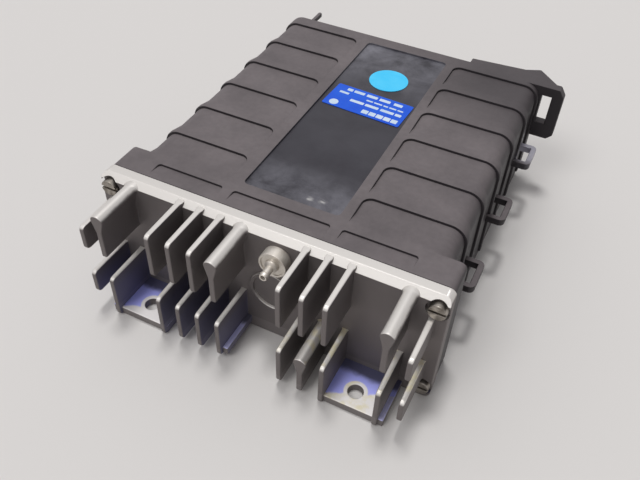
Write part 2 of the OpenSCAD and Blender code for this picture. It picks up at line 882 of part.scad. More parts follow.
module blue_label() {
    color("#1f5ad0") translate([recess_x + label_x, label_y, unit_h - recess_depth]) {
        rotate(label_turn) translate([0, -label_len / 2, 0]) linear_extrude(film_t) {
            rounded_rect(label_w, label_len, label_r);
        }
    }
}

module round_sticker() {
    color("#4bbcf2") translate([recess_x + dot_x, dot_y, unit_h - recess_depth]) {
        cylinder(d = dot_d, h = film_t);
    }
}

module lower_board() {
    color("#2f6b3c") difference() {
        span([-lower_w / 2, lower_y0, board_z], [lower_w / 2, lower_y1, lower_top]);
        for (s = [-1, 1]) {
            translate([s * bracket_x, plate_back + bracket_y, board_z - weld]) {
                cylinder(d = board_screw_d + 2 * screw_play, h = board_t + 2 * weld);
            }
            for (y = spacer_ys) {
                translate([s * spacer_x, y, board_z - weld]) {
                    cylinder(d = board_screw_d + 2 * screw_play, h = board_t + 2 * weld);
                }
            }
        }
    }
}

module upper_board() {
    color("#2f6b3c") difference() {
        span([-upper_w / 2, upper_y0, upper_z], [upper_w / 2, upper_y1, upper_top]);
        for (s = [-1, 1], y = spacer_ys) {
            translate([s * spacer_x, y, upper_z - weld]) {
                cylinder(d = board_screw_d + 2 * screw_play, h = board_t + 2 * weld);
            }
        }
    }
}

module board_spacers() {
    color("#c2b06c") for (s = [-1, 1], y = spacer_ys) {
        translate([s * spacer_x, y, lower_top]) difference() {
            cylinder(d = spacer_d, h = board_gap);
            translate([0, 0, -weld]) {
                cylinder(d = board_screw_d + play, h = board_grip + tap_room + weld);
            }
            translate([0, 0, board_gap - board_grip - tap_room]) {
                cylinder(d = board_screw_d + play, h = board_grip + tap_room + weld);
            }
        }
    }
}

// Cheese-head board screw that points down, with the underside of its head at Z = 0
module board_screw(grip) {
    difference() {
        union() {
            cylinder(d = board_head_d, h = board_head_h);
            translate([0, 0, -grip]) cylinder(d = board_screw_d, h = grip + weld);
        }
        span([-board_head_d, -board_slot / 2, board_head_h - board_slot],
            [board_head_d, board_slot / 2, board_head_h + weld]);
    }
}

module board_screws() {
    color("#9a968c") for (s = [-1, 1]) {
        translate([s * bracket_x, plate_back + bracket_y, lower_top]) {
            board_screw(board_t + board_grip);
        }
        for (y = spacer_ys) {
            translate([s * spacer_x, y, upper_top]) board_screw(board_t + board_grip);
            translate([s * spacer_x, y, board_z]) mirror([0, 0, 1]) board_screw(board_t + board_grip);
        }
    }
}

module bridge_header() {
    color("#26262a") {
        span([bridge_x - bridge_w / 2, bridge_y0, lower_top],
            [bridge_x + bridge_w / 2, bridge_y0 + bridge_len, lower_top + bridge_w]);
        for (i = [0:bridge_count - 1]) {
            y = bridge_y0 + (i + 0.5) * lead_pitch;
            span([bridge_x - bridge_pin_w / 2, y - bridge_pin_w / 2, lower_top],
                [bridge_x + bridge_pin_w / 2, y + bridge_pin_w / 2, bridge_pin_top]);
        }
    }
}

module bridge_socket() {
    well = bridge_pin_w + 2 * play;
    color("#26262a") difference() {
        span([bridge_x - bridge_w / 2, bridge_y0, upper_z - bridge_socket_h],
            [bridge_x + bridge_w / 2, bridge_y0 + bridge_len, upper_z]);
        for (i = [0:bridge_count - 1]) {
            y = bridge_y0 + (i + 0.5) * lead_pitch;
            span([bridge_x - well / 2, y - well / 2, upper_z - bridge_socket_h - weld],
                [bridge_x + well / 2, y + well / 2, bridge_pin_top + play]);
        }
    }
}

module plug_socket() {
    color("#1d1d1f") difference() {
        union() {
            translate([0, 0, socket_z0]) along_y(socket_y0, rear_in) {
                rounded_rect(socket_w, socket_h, socket_r);
            }
            translate([0, 0, socket_mid - shroud_h / 2]) along_y(rear_in - weld, socket_end) {
                rounded_rect(shroud_w, shroud_h, shroud_t);
            }
        }
        translate([0, 0, socket_mid - shroud_h / 2 + shroud_t]) along_y(well_y, socket_end + weld) {
            rounded_rect(shroud_w - 2 * shroud_t, shroud_h - 2 * shroud_t, socket_r);
        }
        for (b = blades) {
            span([b[1] - blade_w / 2 - play, socket_y0 - weld, row_z(b[0]) - blade_t / 2 - play],
                [b[1] + blade_w / 2 + play, well_y + weld, row_z(b[0]) + blade_t / 2 + play]);
        }
    }
}

module plug_blades() {
    color("#cfc9b8") for (b = blades) {
        z = row_z(b[0]);
        y = tail_y[b[0]];
        span([b[1] - blade_w / 2, y, z - blade_t / 2], [b[1] + blade_w / 2, blade_tip, z + blade_t / 2]);
        span([b[1] - blade_w / 2, y, lower_top], [b[1] + blade_w / 2, y + blade_t, z + blade_t / 2]);
    }
}

// Moulded power transistor against the pad, with three legs down to the board
module power_transistor(x) {
    leg_w = 1.2;
    leg_t = 0.6;
    leg_pitch = 5;
    leg_y = power_y0 + power_t / 2;
    span([x - power_w / 2, power_y0, power_z0], [x + power_w / 2, power_y1, power_z0 + power_h]);
    for (i = [-1, 0, 1]) {
        span([x + i * leg_pitch - leg_w / 2, leg_y, lower_top],
            [x + i * leg_pitch + leg_w / 2, leg_y + leg_t, power_z0 + weld]);
    }
}

module power_transistors() {
    color("#2a2a2c") for (i = [0:power_count - 1]) {
        power_transistor((i - (power_count - 1) / 2) * power_pitch);
    }
}

module insulating_pad() {
    color("#c9c3b2") difference() {
        span([-power_row_w / 2 - pad_over, plate_back, power_z0 - pad_over],
            [power_row_w / 2 + pad_over, power_y0, power_z0 + power_h + pad_over]);
        for (c = clamp_steps) {
            rod_y(c * power_pitch, clamp_z, clamp_hole_d, plate_back - weld, power_y0 + weld);
        }
    }
}

module clamp_bar() {
    color("#8f9297") difference() {
        span([-power_row_w / 2, power_y1, clamp_z - clamp_h / 2],
            [power_row_w / 2, clamp_y1, clamp_z + clamp_h / 2]);
        for (c = clamp_steps) {
            rod_y(c * power_pitch, clamp_z, clamp_hole_d, power_y1 - weld, clamp_y1 + weld);
        }
    }
}

module clamp_screws() {
    grip = clamp_y1 - plate_back + clamp_hole_depth - tap_room;
    color("#9a968c") for (c = clamp_steps) {
        translate([c * power_pitch, clamp_y1, clamp_z]) rotate([-90, 0, 0]) board_screw(grip);
    }
}

// Dual in-line package across X, with its legs bent down to Z = 0
module dip_chip(pins, row_w) {
    body_l = pins / 2 * lead_pitch;
    leg_room = 0.6;
    body_x = row_w / 2 - leg_room;
    body_h = 3.6;
    lift = 0.8;
    notch = 0.8;
    lead_t = 0.3;
    lead_w = 0.5;
    shoulder_w = 1.4;
    lead_z = lift + body_h / 2 + lead_t / 2;
    difference() {
        span([-body_x, -body_l / 2, lift], [body_x, body_l / 2, lift + body_h]);
        translate([0, -body_l / 2, lift + body_h - notch]) cylinder(d = 3 * notch, h = notch + weld);
    }
    for (s = [0, 1], i = [0:pins / 2 - 1]) {
        y = (i + 0.5) * lead_pitch - body_l / 2;
        x = row_w / 2;
        mirror([s, 0, 0]) {
            span([x - lead_t / 2, y - lead_w / 2, 0], [x + lead_t / 2, y + lead_w / 2, lead_z]);
            span([body_x - lead_t, y - shoulder_w / 2, lead_z - lead_t],
                [x + lead_t / 2, y + shoulder_w / 2, lead_z]);
        }
    }
}

module microcontroller() {
    color("#232326") translate([controller_x, chip_y, upper_top]) dip_chip(controller_pins, wide_row);
}

module memory_socket() {
    row_x = wide_row / 2;
    bar = 1.6;
    end_bar = 3;
    half_len = 18.3;
    slot = 1;
    slot_end = 0.4;
    slot_depth = 2.6;
    color("#1b1b1d") translate([memory_x, chip_y, upper_top]) difference() {
        span([-row_x - bar, -half_len, 0], [row_x + bar, half_len, memory_lift]);
        span([bar - row_x, end_bar - half_len, -weld],
            [row_x - bar, half_len - end_bar, memory_lift + weld]);
        for (x = [-row_x, row_x]) {
            span([x - slot / 2, slot_end - half_len, memory_lift - slot_depth],
                [x + slot / 2, half_len - slot_end, memory_lift + weld]);
        }
    }
}

module program_memory() {
    seat = 0.8;
    color("#2b2b30") translate([memory_x, chip_y, upper_top + memory_lift - seat]) dip_chip(memory_pins, wide_row);
}

module driver_chips() {
    color("#242427") for (x = driver_xs, y = driver_ys) {
        translate([x, y, lower_top]) dip_chip(driver_pins, narrow_row);
    }
}

module crystal() {
    straight = 6.4;
    wide = 4.4;
    high = 6;
    color("#b4b6b8") translate([crystal_x, chip_y, upper_top]) linear_extrude(high) {
        square([straight, wide], center = true);
        for (s = [-1, 1]) {
            translate([s * straight / 2, 0]) circle(d = wide);
        }
    }
}

// Standing aluminium can with a crimped groove near its foot
module can_capacitor(d, h) {
    r = d / 2;
    groove_z = 2;
    groove = 0.6;
    rotate_extrude() polygon([
        [0, 0], [r, 0], [r, groove_z], [r - groove, groove_z + groove], [r, groove_z + 2 * groove],
        [r, h - groove], [r - groove, h], [0, h]
    ]);
}

module electrolytic_capacitors() {
    color("#2d3340") for (x = can_xs) {
        translate([x, can_y, lower_top]) can_capacitor(can_d, can_h);
    }
}

module film_capacitors() {
    color("#b5452e") for (x = film_xs) {
        translate([x - film_size[0] / 2, film_y - film_size[1] / 2, lower_top]) cube(film_size);
    }
}

// Wire-ended resistor lying above the board on its two leads
module wire_resistor(len, d, lift) {
    lead = 0.8;
    tail = 2;
    reach = len / 2 + tail;
    translate([-len / 2, 0, lift]) rotate([0, 90, 0]) cylinder(d = d, h = len);
    translate([-reach, 0, lift]) rotate([0, 90, 0]) cylinder(d = lead, h = 2 * reach);
    for (s = [-1, 1]) {
        translate([s * reach, 0, 0]) cylinder(d = lead, h = lift);
        translate([s * reach, 0, lift]) sphere(d = lead);
    }
}

module power_resistors() {
    color("#7d8b6d") for (y = resistor_ys) {
        translate([resistor_x, y, lower_top]) wire_resistor(resistor_len, resistor_d, resistor_lift);
    }
}

module choke() {
    r = 7;
    waist = 5.6;
    flange = 1.6;
    high = 11.6;
    color("#6b4a2f") translate([choke_x, choke_y, lower_top]) rotate_extrude() polygon([
        [0, 0], [r, 0], [r, flange], [waist, flange],
        [waist, high - flange], [r, high - flange], [r, high], [0, high]
    ]);
}

housing();
heat_sink();
flange_seal();
flange_screws();
pressure_port();
port_seal();
port_nut();
pressure_hose();
pressure_sensor();
blue_label();
round_sticker();
lower_board();
upper_board();
board_spacers();
board_screws();
bridge_header();
bridge_socket();
plug_socket();
plug_blades();
power_transistors();
insulating_pad();
clamp_bar();
clamp_screws();
microcontroller();
program_memory();
memory_socket();
driver_chips();
crystal();
electrolytic_capacitors();
film_capacitors();
power_resistors();
choke();
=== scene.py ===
"""Dresses the engine control unit: a ribbed plastic housing closed by a cast, finned end plate."""

import json
import logging
import math
from collections.abc import Callable, Iterator, Sequence
from contextlib import contextmanager
from dataclasses import dataclass
from enum import Enum
from typing import Any

import bpy
from mathutils import Matrix, Vector

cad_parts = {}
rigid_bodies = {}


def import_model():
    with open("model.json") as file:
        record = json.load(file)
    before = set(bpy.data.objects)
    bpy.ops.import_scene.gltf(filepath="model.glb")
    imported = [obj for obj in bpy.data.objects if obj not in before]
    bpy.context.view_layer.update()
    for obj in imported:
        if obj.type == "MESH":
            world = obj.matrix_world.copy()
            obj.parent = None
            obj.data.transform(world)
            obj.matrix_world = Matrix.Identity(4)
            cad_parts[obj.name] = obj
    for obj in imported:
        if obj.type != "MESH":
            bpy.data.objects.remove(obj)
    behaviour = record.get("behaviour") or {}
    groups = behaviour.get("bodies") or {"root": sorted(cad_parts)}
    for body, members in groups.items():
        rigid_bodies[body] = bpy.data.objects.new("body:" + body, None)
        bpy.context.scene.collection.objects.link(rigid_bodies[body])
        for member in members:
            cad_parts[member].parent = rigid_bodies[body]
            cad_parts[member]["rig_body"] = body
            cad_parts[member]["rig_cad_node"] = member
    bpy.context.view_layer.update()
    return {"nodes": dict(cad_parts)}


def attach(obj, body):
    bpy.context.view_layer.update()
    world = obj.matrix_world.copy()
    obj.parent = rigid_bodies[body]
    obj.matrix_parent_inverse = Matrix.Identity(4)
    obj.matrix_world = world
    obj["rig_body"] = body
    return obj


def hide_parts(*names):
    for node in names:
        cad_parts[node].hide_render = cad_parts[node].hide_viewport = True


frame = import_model()
MM = 0.001
LOG = logging.getLogger("control_unit")
Piece = bpy.types.Object
Tree = bpy.types.NodeTree
Node = bpy.types.Node
Socket = bpy.types.NodeSocket
Pair = tuple[float, float]
Triple = tuple[float, float, float]
Links = Node | Socket | dict[Any, Node | Socket]
# A face looks along an axis when its normal has more than this share of it.
FACING = 0.9
# Points nearer than this are one point, and edges flatter than this many degrees are no edges.
SAME_MM = 0.002
FLAT = 0.4
# Edges sharper than this many degrees are rounded or stay sharp, on most pieces and on the casting.
SHARP = 32.0
CAST_SHARP = 40.0
# Facets round a shape that is seen from near.
ROUND = 64
# Settings that many nodes share.
SMOOTH = {"interpolation_type": "SMOOTHSTEP"}
TIMES = {"operation": "MULTIPLY"}
TIMES_PLUS = {"operation": "MULTIPLY_ADD"}
COLOURS = {"data_type": "RGBA"}


class Axis(Enum):
    """An axis of the unit, by its place in a vector."""

    X = 0
    Y = 1
    Z = 2


def linear(colour: str) -> tuple[float, float, float, float]:
    """Turns an sRGB hex colour into linear light.

    Args:
        colour: The colour, such as "#6b656a".

    Returns:
        Red, green, blue and an alpha of 1.
    """
    channels = [int(colour[i:i + 2], 16) / 255 for i in (1, 3, 5)]
    red, green, blue = [c / 12.92 if c <= 0.04045 else ((c + 0.055) / 1.055) ** 2.4 for c in channels]
    return red, green, blue, 1.0


def wire(tree: Tree, node: Node, settings: dict[Any, Any], links: Links) -> None:
    """Sets a node's values and links its inputs.

    An input goes by its number where its name isn't its own: a Map Range maps 1 and 2 to 3 and 4, a Mix of
    colours goes from 6 to 7 and a Mix of numbers from 2 to 3.

    Args:
        tree: The tree that the node is in.
        node: The node.
        settings: Values by the name of a property, or by the name or number of an input.
        links: What feeds the inputs, by name or number, or one source for the first input. A node stands for
            its first output that is in use.
    """
    for key, value in settings.items():
        if isinstance(key, str) and hasattr(node, key):
            setattr(node, key, value)
        else:
            node.inputs[key].default_value = value
    for key, source in (links if isinstance(links, dict) else {0: links}).items():
        if isinstance(source, Node):
            source = next(output for output in source.outputs if output.enabled)
        tree.links.new(source, node.inputs[key])


def add_node(tree: Tree, kind: str, settings: dict[Any, Any] | None = None,
             links: Links | None = None) -> Node:
    """Adds a node with its settings and its links.

    Args:
        tree: The tree that gets the node.
        kind: Blender's name for the type of shader node.
        settings: Its values, as for wire.
        links: What feeds its inputs, as for wire.

    Returns:
        The new node.
    """
    node = tree.nodes.new(f"ShaderNode{kind}")
    wire(tree, node, settings or {}, {} if links is None else links)
    return node


def per_metre(size_mm: float) -> float:
    """Gives the scale of a pattern whose features have a real size in millimetres."""
    return 1 / (size_mm * MM)


def metres(sizes_mm: Sequence[float]) -> list[float]:
    """Turns millimetres into metres."""
    return [size * MM for size in sizes_mm]


def ends(low_mm: float, high_mm: float) -> dict[int, float]:
    """Gives the two places, in millimetres, between which a value changes."""
    return {1: low_mm * MM, 2: high_mm * MM}


@dataclass(frozen=True)
class Finish:
    """A real material and how its surface was made."""

    name: str

    def material(self) -> bpy.types.Material:
        """Makes the material once.

        Returns:
            The material, shared by all the pieces that have this finish.
        """
        made = bpy.data.materials.get(self.name)
        if made is None:
            made = bpy.data.materials.new(self.name)
            made.use_nodes = True
            tree = made.node_tree
            self.paint(tree, tree.nodes["Principled BSDF"], add_node(tree, "TexCoord").outputs["Object"])
        return made

    def paint(self, tree: Tree, shader: Node, place: Socket) -> None:
        """Adds the nodes that give the finish its look.

        Args:
            tree: The material's nodes.
            shader: The surface shader among them.
            place: The point's place on the unit.
        """
        raise NotImplementedError


@dataclass(frozen=True)
class DustyMoulding(Finish):
    """Glass-filled polyamide from an eroded mould: matt, finely grained, with dust on what faces up."""

    colour: str
    dust: str
    dust_amount: float = 0.78
    roughness: float = 0.52
    grain_mm: float = 0.6
    blotch_mm: float = 26.0
    speck_mm: float = 2.2
    bump: float = 0.22
    wiped_mm: Triple = (58.0, 164.0, 58.0)
    wiped_reach_mm: Pair = (14.0, 60.0)
    # A lighter colour painted as a highlight where the plastic by the rear loop is rubbed smooth.
    worn: str = "#b4b2bd"
    worn_highlight_mm: Triple = (73.0, 150.0, 31.5)
    worn_highlight_reach_mm: Pair = (14.5, 7.5)
    worn_highlight_ragged_mm: float = 4.0
    worn_highlight_roughness: float = 0.16

    def paint(self, tree: Tree, shader: Node, place: Socket) -> None:
        """Adds grain, blotches, dust and a place by the rear loop that is rubbed shiny and painted lighter as
        a highlight.

        Args:
            tree: The material's nodes.
            shader: The surface shader among them.
            place: The point's place on the unit.
        """
        normal = add_node(tree, "NewGeometry").outputs["Normal"]
        up = add_node(tree, "SeparateXYZ", links=normal).outputs["Z"]
        film = add_node(tree, "MapRange", SMOOTH | {1: 0.25, 2: 0.95}, up)
        blotch = add_node(tree, "TexNoise", {"Scale": per_metre(self.blotch_mm), "Detail": 5.0,
                                             "Roughness": 0.62}, place)
        speck = add_node(tree, "TexNoise", {"Scale": per_metre(self.speck_mm), "Detail": 3.0}, place)
        patchy = add_node(tree, "MapRange", {1: 0.25, 2: 0.75, 3: 0.55, 4: 1.0}, blotch)
        flecked = add_node(tree, "MapRange", {1: 0.3, 2: 0.7, 3: 0.86, 4: 1.0}, speck)
        # Hands take the dust off round the lug.
        away = add_node(tree, "VectorMath", {"operation": "DISTANCE", 1: metres(self.wiped_mm)}, place)
        left = add_node(tree, "MapRange", SMOOTH | ends(*self.wiped_reach_mm) | {3: 0.4, 4: 1.0}, away)
        for share in (patchy, flecked, left):
            film = add_node(tree, "Math", TIMES, {0: film, 1: share})
        amount = add_node(tree, "Math", TIMES | {1: self.dust_amount}, film)
        tone = add_node(tree, "Mix", COLOURS | {6: linear(self.colour), 7: linear(self.dust)}, amount)
        # By the rear loop the plastic is rubbed smooth, and its colour is painted lighter there as a
        # highlight.
        away = add_node(tree, "VectorMath", {"operation": "DISTANCE", 1: metres(self.worn_highlight_mm)}, place)
        ragged = add_node(tree, "Math", TIMES_PLUS | {1: self.worn_highlight_ragged_mm * MM}, {0: speck, 2: away})
        worn_highlight = add_node(tree, "MapRange", SMOOTH | ends(*self.worn_highlight_reach_mm) | {3: 0.0, 4: 0.8}, ragged)
        tone = add_node(tree, "Mix", COLOURS | {7: linear(self.worn)}, {0: worn_highlight, 6: tone})
        rough = add_node(tree, "MapRange", {3: self.roughness, 4: self.roughness + 0.2}, film)
        rough = add_node(tree, "Mix", {"data_type": "FLOAT", 3: self.worn_highlight_roughness}, {0: worn_highlight, 2: rough})
        # The eroded texture is about a tenth of a millimetre: it is drawn coarser, so that it shows.
        grain = add_node(tree, "TexNoise", {"Scale": per_metre(self.grain_mm), "Detail": 2.0}, place)
        relief = add_node(tree, "Bump", {"Strength": self.bump, "Distance": 0.12 * MM}, {"Height": grain})
        # Bare fibres and grime at the surface scatter part of what a clean skin would mirror.
        wire(tree, shader, {"IOR": 1.53, "Specular IOR Level": 0.3},
             {"Base Color": tone, "Roughness": rough, "Normal": relief})


@dataclass(frozen=True)
class HandledRecess(Finish):
    """The same polyamide from a polished part of the mould: darker, smoother, wiped, and scuffed pale in
    spots that are also painted highlights.
    """

    colour: str
    dust: str
    scuff_glint: str
    scuff_glints_mm: Sequence[Triple] = ((6.5, 39.0, 57.6), (12.8, 39.7, 57.6))
    scuff_glint_reach_mm: float = 4.2
    scuff_glint_mm: float = 5.5
    smear_mm: float = 17.0
    ripple_mm: float = 6.0
    front_mm: Pair = (66.0, 36.0)
    far_mm: Pair = (112.0, 160.0)

    def paint(self, tree: Tree, shader: Node, place: Socket) -> None:
        """Adds smears, dust at both ends and a few scuffs near the front, whose pale cores are painted
        highlights.

        Args:
            tree: The material's nodes.
            shader: The surface shader among them.
            place: The point's place on the unit.
        """
        along = add_node(tree, "SeparateXYZ", links=place).outputs["Y"]
        smear = add_node(tree, "TexNoise", {"Scale": per_metre(self.smear_mm), "Detail": 6.0,
                                            "Roughness": 0.65, "Distortion": 0.25}, place)
        far = add_node(tree, "MapRange", SMOOTH | ends(*self.far_mm) | {3: 0.1, 4: 1.0}, along)
        front = add_node(tree, "MapRange", SMOOTH | ends(*self.front_mm) | {3: 0.0, 4: 0.9}, along)
        film = add_node(tree, "Math", {"operation": "MAXIMUM"}, {0: far, 1: front})
        wiped = add_node(tree, "MapRange", {1: 0.3, 2: 0.66}, smear)
        film = add_node(tree, "Math", TIMES, {0: film, 1: wiped})
        tone = add_node(tree, "Mix", COLOURS | {6: linear(self.colour), 7: linear(self.dust)}, film)
        streak = add_node(tree, "Mapping", {"Rotation": (0, 0, 0.5), "Scale": (1.0, 2.2, 1.0)}, place)
        rubbed_and_lit = add_node(tree, "TexNoise", {"Scale": per_metre(self.scuff_glint_mm), "Detail": 2.0}, streak)
        # Each scuff is rubbed pale, and its white core is a painted highlight.
        for centre in self.scuff_glints_mm:
            away = add_node(tree, "VectorMath", {"operation": "DISTANCE", 1: metres(centre)}, place)
            near = add_node(tree, "MapRange", ends(self.scuff_glint_reach_mm, 0.0) | {3: -0.28, 4: 0.2}, away)
            scuff_glint_mark = add_node(tree, "Math", {"operation": "ADD"}, {0: near, 1: rubbed_and_lit})
            scuff_glint_mark = add_node(tree, "MapRange", SMOOTH | {1: 0.46, 2: 0.78, 4: 0.75}, scuff_glint_mark)
            tone = add_node(tree, "Mix", COLOURS | {7: linear(self.scuff_glint)}, {0: scuff_glint_mark, 6: tone})
        rough = add_node(tree, "MapRange", {1: 0.25, 2: 0.75, 3: 0.3, 4: 0.46}, smear)
        ripple = add_node(tree, "TexNoise", {"Scale": per_metre(self.ripple_mm), "Detail": 3.0}, place)
        relief = add_node(tree, "Bump", {"Strength": 0.12, "Distance": 0.1 * MM}, {"Height": ripple})
        wire(tree, shader, {"IOR": 1.53}, {"Base Color": tone, "Roughness": rough, "Normal": relief})


@dataclass(frozen=True)
class CastSkin(Finish):
    """Die-cast aluminium: a dull skin in the hollows, and tops rubbed bright where things touch them from
    above and painted brighter as if lit from above.
    """

    skin: str
    cool_skin: str
    bright: str
    chromate: str
    bare_foot: str
    passivated: str
    cloud_mm: float = 9.0
    stain_mm: float = 4.0
    grit_mm: float = 0.7
    foot_x_mm: float = 48.56
    foot_half_w_mm: float = 11.4
    foot_top_mm: float = 6.6
    chromate_x_mm: Pair = (12.0, 27.0)
    chromate_z_mm: Pair = (26.0, 25.0)
    trace_x_mm: Pair = (12.0, -8.0)
    trace_z_mm: Pair = (26.0, 16.0)
    border_mm: Pair = (-2.0, -1.2)
    border_slope: float = 0.42
    border_ragged_mm: float = 6.0
    washer_mm: Pair = (4.7, 5.1)
    outside_share: float = 0.6
    # The colour of the plate's painted shadow on the feet.
    plate_shadow: str = "#35322f"
    plate_shadow_mm: Pair = (5.5, 9.0)
    plate_shadow_ragged_mm: float = 7.0

    def paint(self, tree: Tree, shader: Node, place: Socket) -> None:
        """Adds the skin, the tops that are rubbed and painted bright as if lit from above, the worn feet and
        the plate's painted shadow on them.

        Args:
            tree: The material's nodes.
            shader: The surface shader among them.
            place: The point's place on the unit.
        """
        at = add_node(tree, "SeparateXYZ", links=place).outputs
        normal = add_node(tree, "NewGeometry").outputs["Normal"]
        facing = add_node(tree, "SeparateXYZ", links=normal).outputs
        cloud = add_node(tree, "TexNoise", {"Scale": per_metre(self.cloud_mm), "Detail": 5.0,
                                            "Roughness": 0.6}, place)
        uneven = add_node(tree, "MapRange", {1: 0.2, 2: 0.8, 3: -0.22, 4: 0.22}, cloud)
        # Painted light: faces that look up are made brighter, as if lit from above, as well as rubbed.
        up = add_node(tree, "Math", {"operation": "ADD"}, {0: facing["Z"], 1: uneven})
        rubbed_and_lit = add_node(tree, "MapRange", SMOOTH | {1: 0.2, 2: 0.65}, up)
        low = add_node(tree, "Math", {"operation": "LESS_THAN", 1: self.foot_top_mm * MM}, at["Z"])
        # Chromate leaves a faint yellow tint on the lower tops at the right.
        stain = add_node(tree, "TexNoise", {"Scale": per_metre(self.stain_mm), "Detail": 3.0}, place)
        tint = add_node(tree, "MapRange", {1: 0.44, 2: 0.64, 4: 0.7}, stain)
        for places_mm, axis in ((self.chromate_z_mm, "Z"), (self.chromate_x_mm, "X")):
            within = add_node(tree, "MapRange", ends(*places_mm), at[axis])
            tint = add_node(tree, "Math", TIMES, {0: tint, 1: within})
        # Painted shadow: the feet are darkened where they meet the plate, as the plate's shadow falls there.
        painted_shadow = add_node(tree, "Math", TIMES_PLUS | {1: self.plate_shadow_ragged_mm * MM}, {0: uneven, 2: at["Y"]})
        painted_shadow = add_node(tree, "MapRange", SMOOTH | ends(*self.plate_shadow_mm) | {4: 0.85}, painted_shadow)
        painted_shadow = add_node(tree, "Math", TIMES, {0: painted_shadow, 1: low})
        tops = add_node(tree, "Mix", COLOURS | {6: linear(self.bright), 7: linear(self.bare_foot)}, low)
        coated = self.coat(tree, at, uneven, low)
        for share, colour in ((tint, self.chromate), (coated, self.passivated), (painted_shadow, self.plate_shadow)):
            tops = add_node(tree, "Mix", COLOURS | {7: linear(colour)}, {0: share, 6: tops})
        # The lower fins on the left are tinted blue on their sides.
        trace = add_node(tree, "MapRange", ends(*self.trace_x_mm), at["X"])
        below = add_node(tree, "MapRange", ends(*self.trace_z_mm), at["Z"])
        front = add_node(tree, "MapRange", {1: -0.7, 2: -0.3}, facing["Y"])
        for share in (below, front):
            trace = add_node(tree, "Math", TIMES, {0: trace, 1: share})
        hollows = add_node(tree, "Mix", COLOURS | {6: linear(self.skin), 7: linear(self.cool_skin)}, trace)
        tone = add_node(tree, "Mix", COLOURS, {0: rubbed_and_lit, 6: hollows, 7: tops})
        rough = add_node(tree, "MapRange", {3: 0.6, 4: 0.46}, rubbed_and_lit)
        # Oxide, dust and the chromate film lie on the metal, so that it shines less than bare metal.
        metal = add_node(tree, "MapRange", {3: 0.6, 4: 0.1}, low)
        # The skin's own grain is finer still: it is drawn coarser, so that it shows.
        grit = add_node(tree, "TexNoise", {"Scale": per_metre(self.grit_mm), "Detail": 3.0, "Roughness": 0.6},
                        place)
        relief = add_node(tree, "Bump", {"Strength": 0.25, "Distance": 0.12 * MM}, {"Height": grit})
        wire(tree, shader, {}, {"Base Color": tone, "Roughness": rough, "Metallic": metal, "Normal": relief})

    def coat(self, tree: Tree, at: bpy.types.NodeOutputs, uneven: Node, low: Node) -> Node:
        """Marks where the feet keep their blue passivation: behind a slanting edge, but not under the washer.

        Args:
            tree: The material's nodes.
            at: The point's place, split into its coordinates.
            uneven: A slow cloud that makes edges ragged.
            low: 1 on the feet.

        Returns:
            A node whose output is 1 where the coat is left.
        """
        side = add_node(tree, "Math", {"operation": "SIGN"}, at["X"])
        across = add_node(tree, "Math", TIMES_PLUS | {1: -self.foot_x_mm * MM}, {0: side, 2: at["X"]})
        slant = add_node(tree, "Math", TIMES_PLUS | {1: -self.border_slope}, {0: across, 2: at["Y"]})
        ragged = add_node(tree, "Math", TIMES_PLUS | {1: self.border_ragged_mm * MM}, {0: uneven, 2: slant})
        behind = add_node(tree, "MapRange", ends(*self.border_mm), ragged)
        reach = add_node(tree, "CombineXYZ", links={0: across, 1: at["Y"]})
        reach = add_node(tree, "VectorMath", {"operation": "LENGTH"}, reach)
        clear = add_node(tree, "MapRange", ends(*self.washer_mm), reach)
        kept = add_node(tree, "Math", TIMES, {0: behind, 1: clear})
        width = add_node(tree, "Math", {"operation": "ABSOLUTE"}, across)
        outside = add_node(tree, "Math", {"operation": "GREATER_THAN", 1: self.foot_half_w_mm * MM}, width)
        worn = add_node(tree, "Math", TIMES | {1: self.outside_share}, outside)
        kept = add_node(tree, "Math", {"operation": "MAXIMUM"}, {0: kept, 1: worn})
        return add_node(tree, "Math", TIMES, {0: low, 1: kept})


@dataclass(frozen=True)
class WorkedMetal(Finish):
    """Turned, rolled or plated metal: fine marks from the tool and a little tarnish."""

    colour: str
    tarnish: str
    roughness: float = 0.3
    marks_mm: Triple = (3.0, 0.25, 3.0)
    tarnish_mm: float = 3.0

    def paint(self, tree: Tree, shader: Node, place: Socket) -> None:
        """Adds tool marks and tarnish.

        Args:
            tree: The material's nodes.
            shader: The surface shader among them.
            place: The point's place on the unit.
        """
        dull = add_node(tree, "TexNoise", {"Scale": per_metre(self.tarnish_mm), "Detail": 4.0}, place)
        spots = add_node(tree, "MapRange", {1: 0.4, 2: 0.75}, dull)
        tone = add_node(tree, "Mix", COLOURS | {6: linear(self.colour), 7: linear(self.tarnish)}, spots)
        rough = add_node(tree, "MapRange", {3: self.roughness, 4: self.roughness + 0.2}, spots)
        stretched = add_node(tree, "Mapping", {"Scale": [per_metre(v) for v in self.marks_mm]}, place)
        marks = add_node(tree, "TexNoise", {"Scale": 1.0, "Detail": 2.0}, stretched)
        relief = add_node(tree, "Bump", {"Strength": 0.1, "Distance": 0.05 * MM}, {"Height": marks})
        wire(tree, shader, {"Metallic": 1.0}, {"Base Color": tone, "Roughness": rough, "Normal": relief})


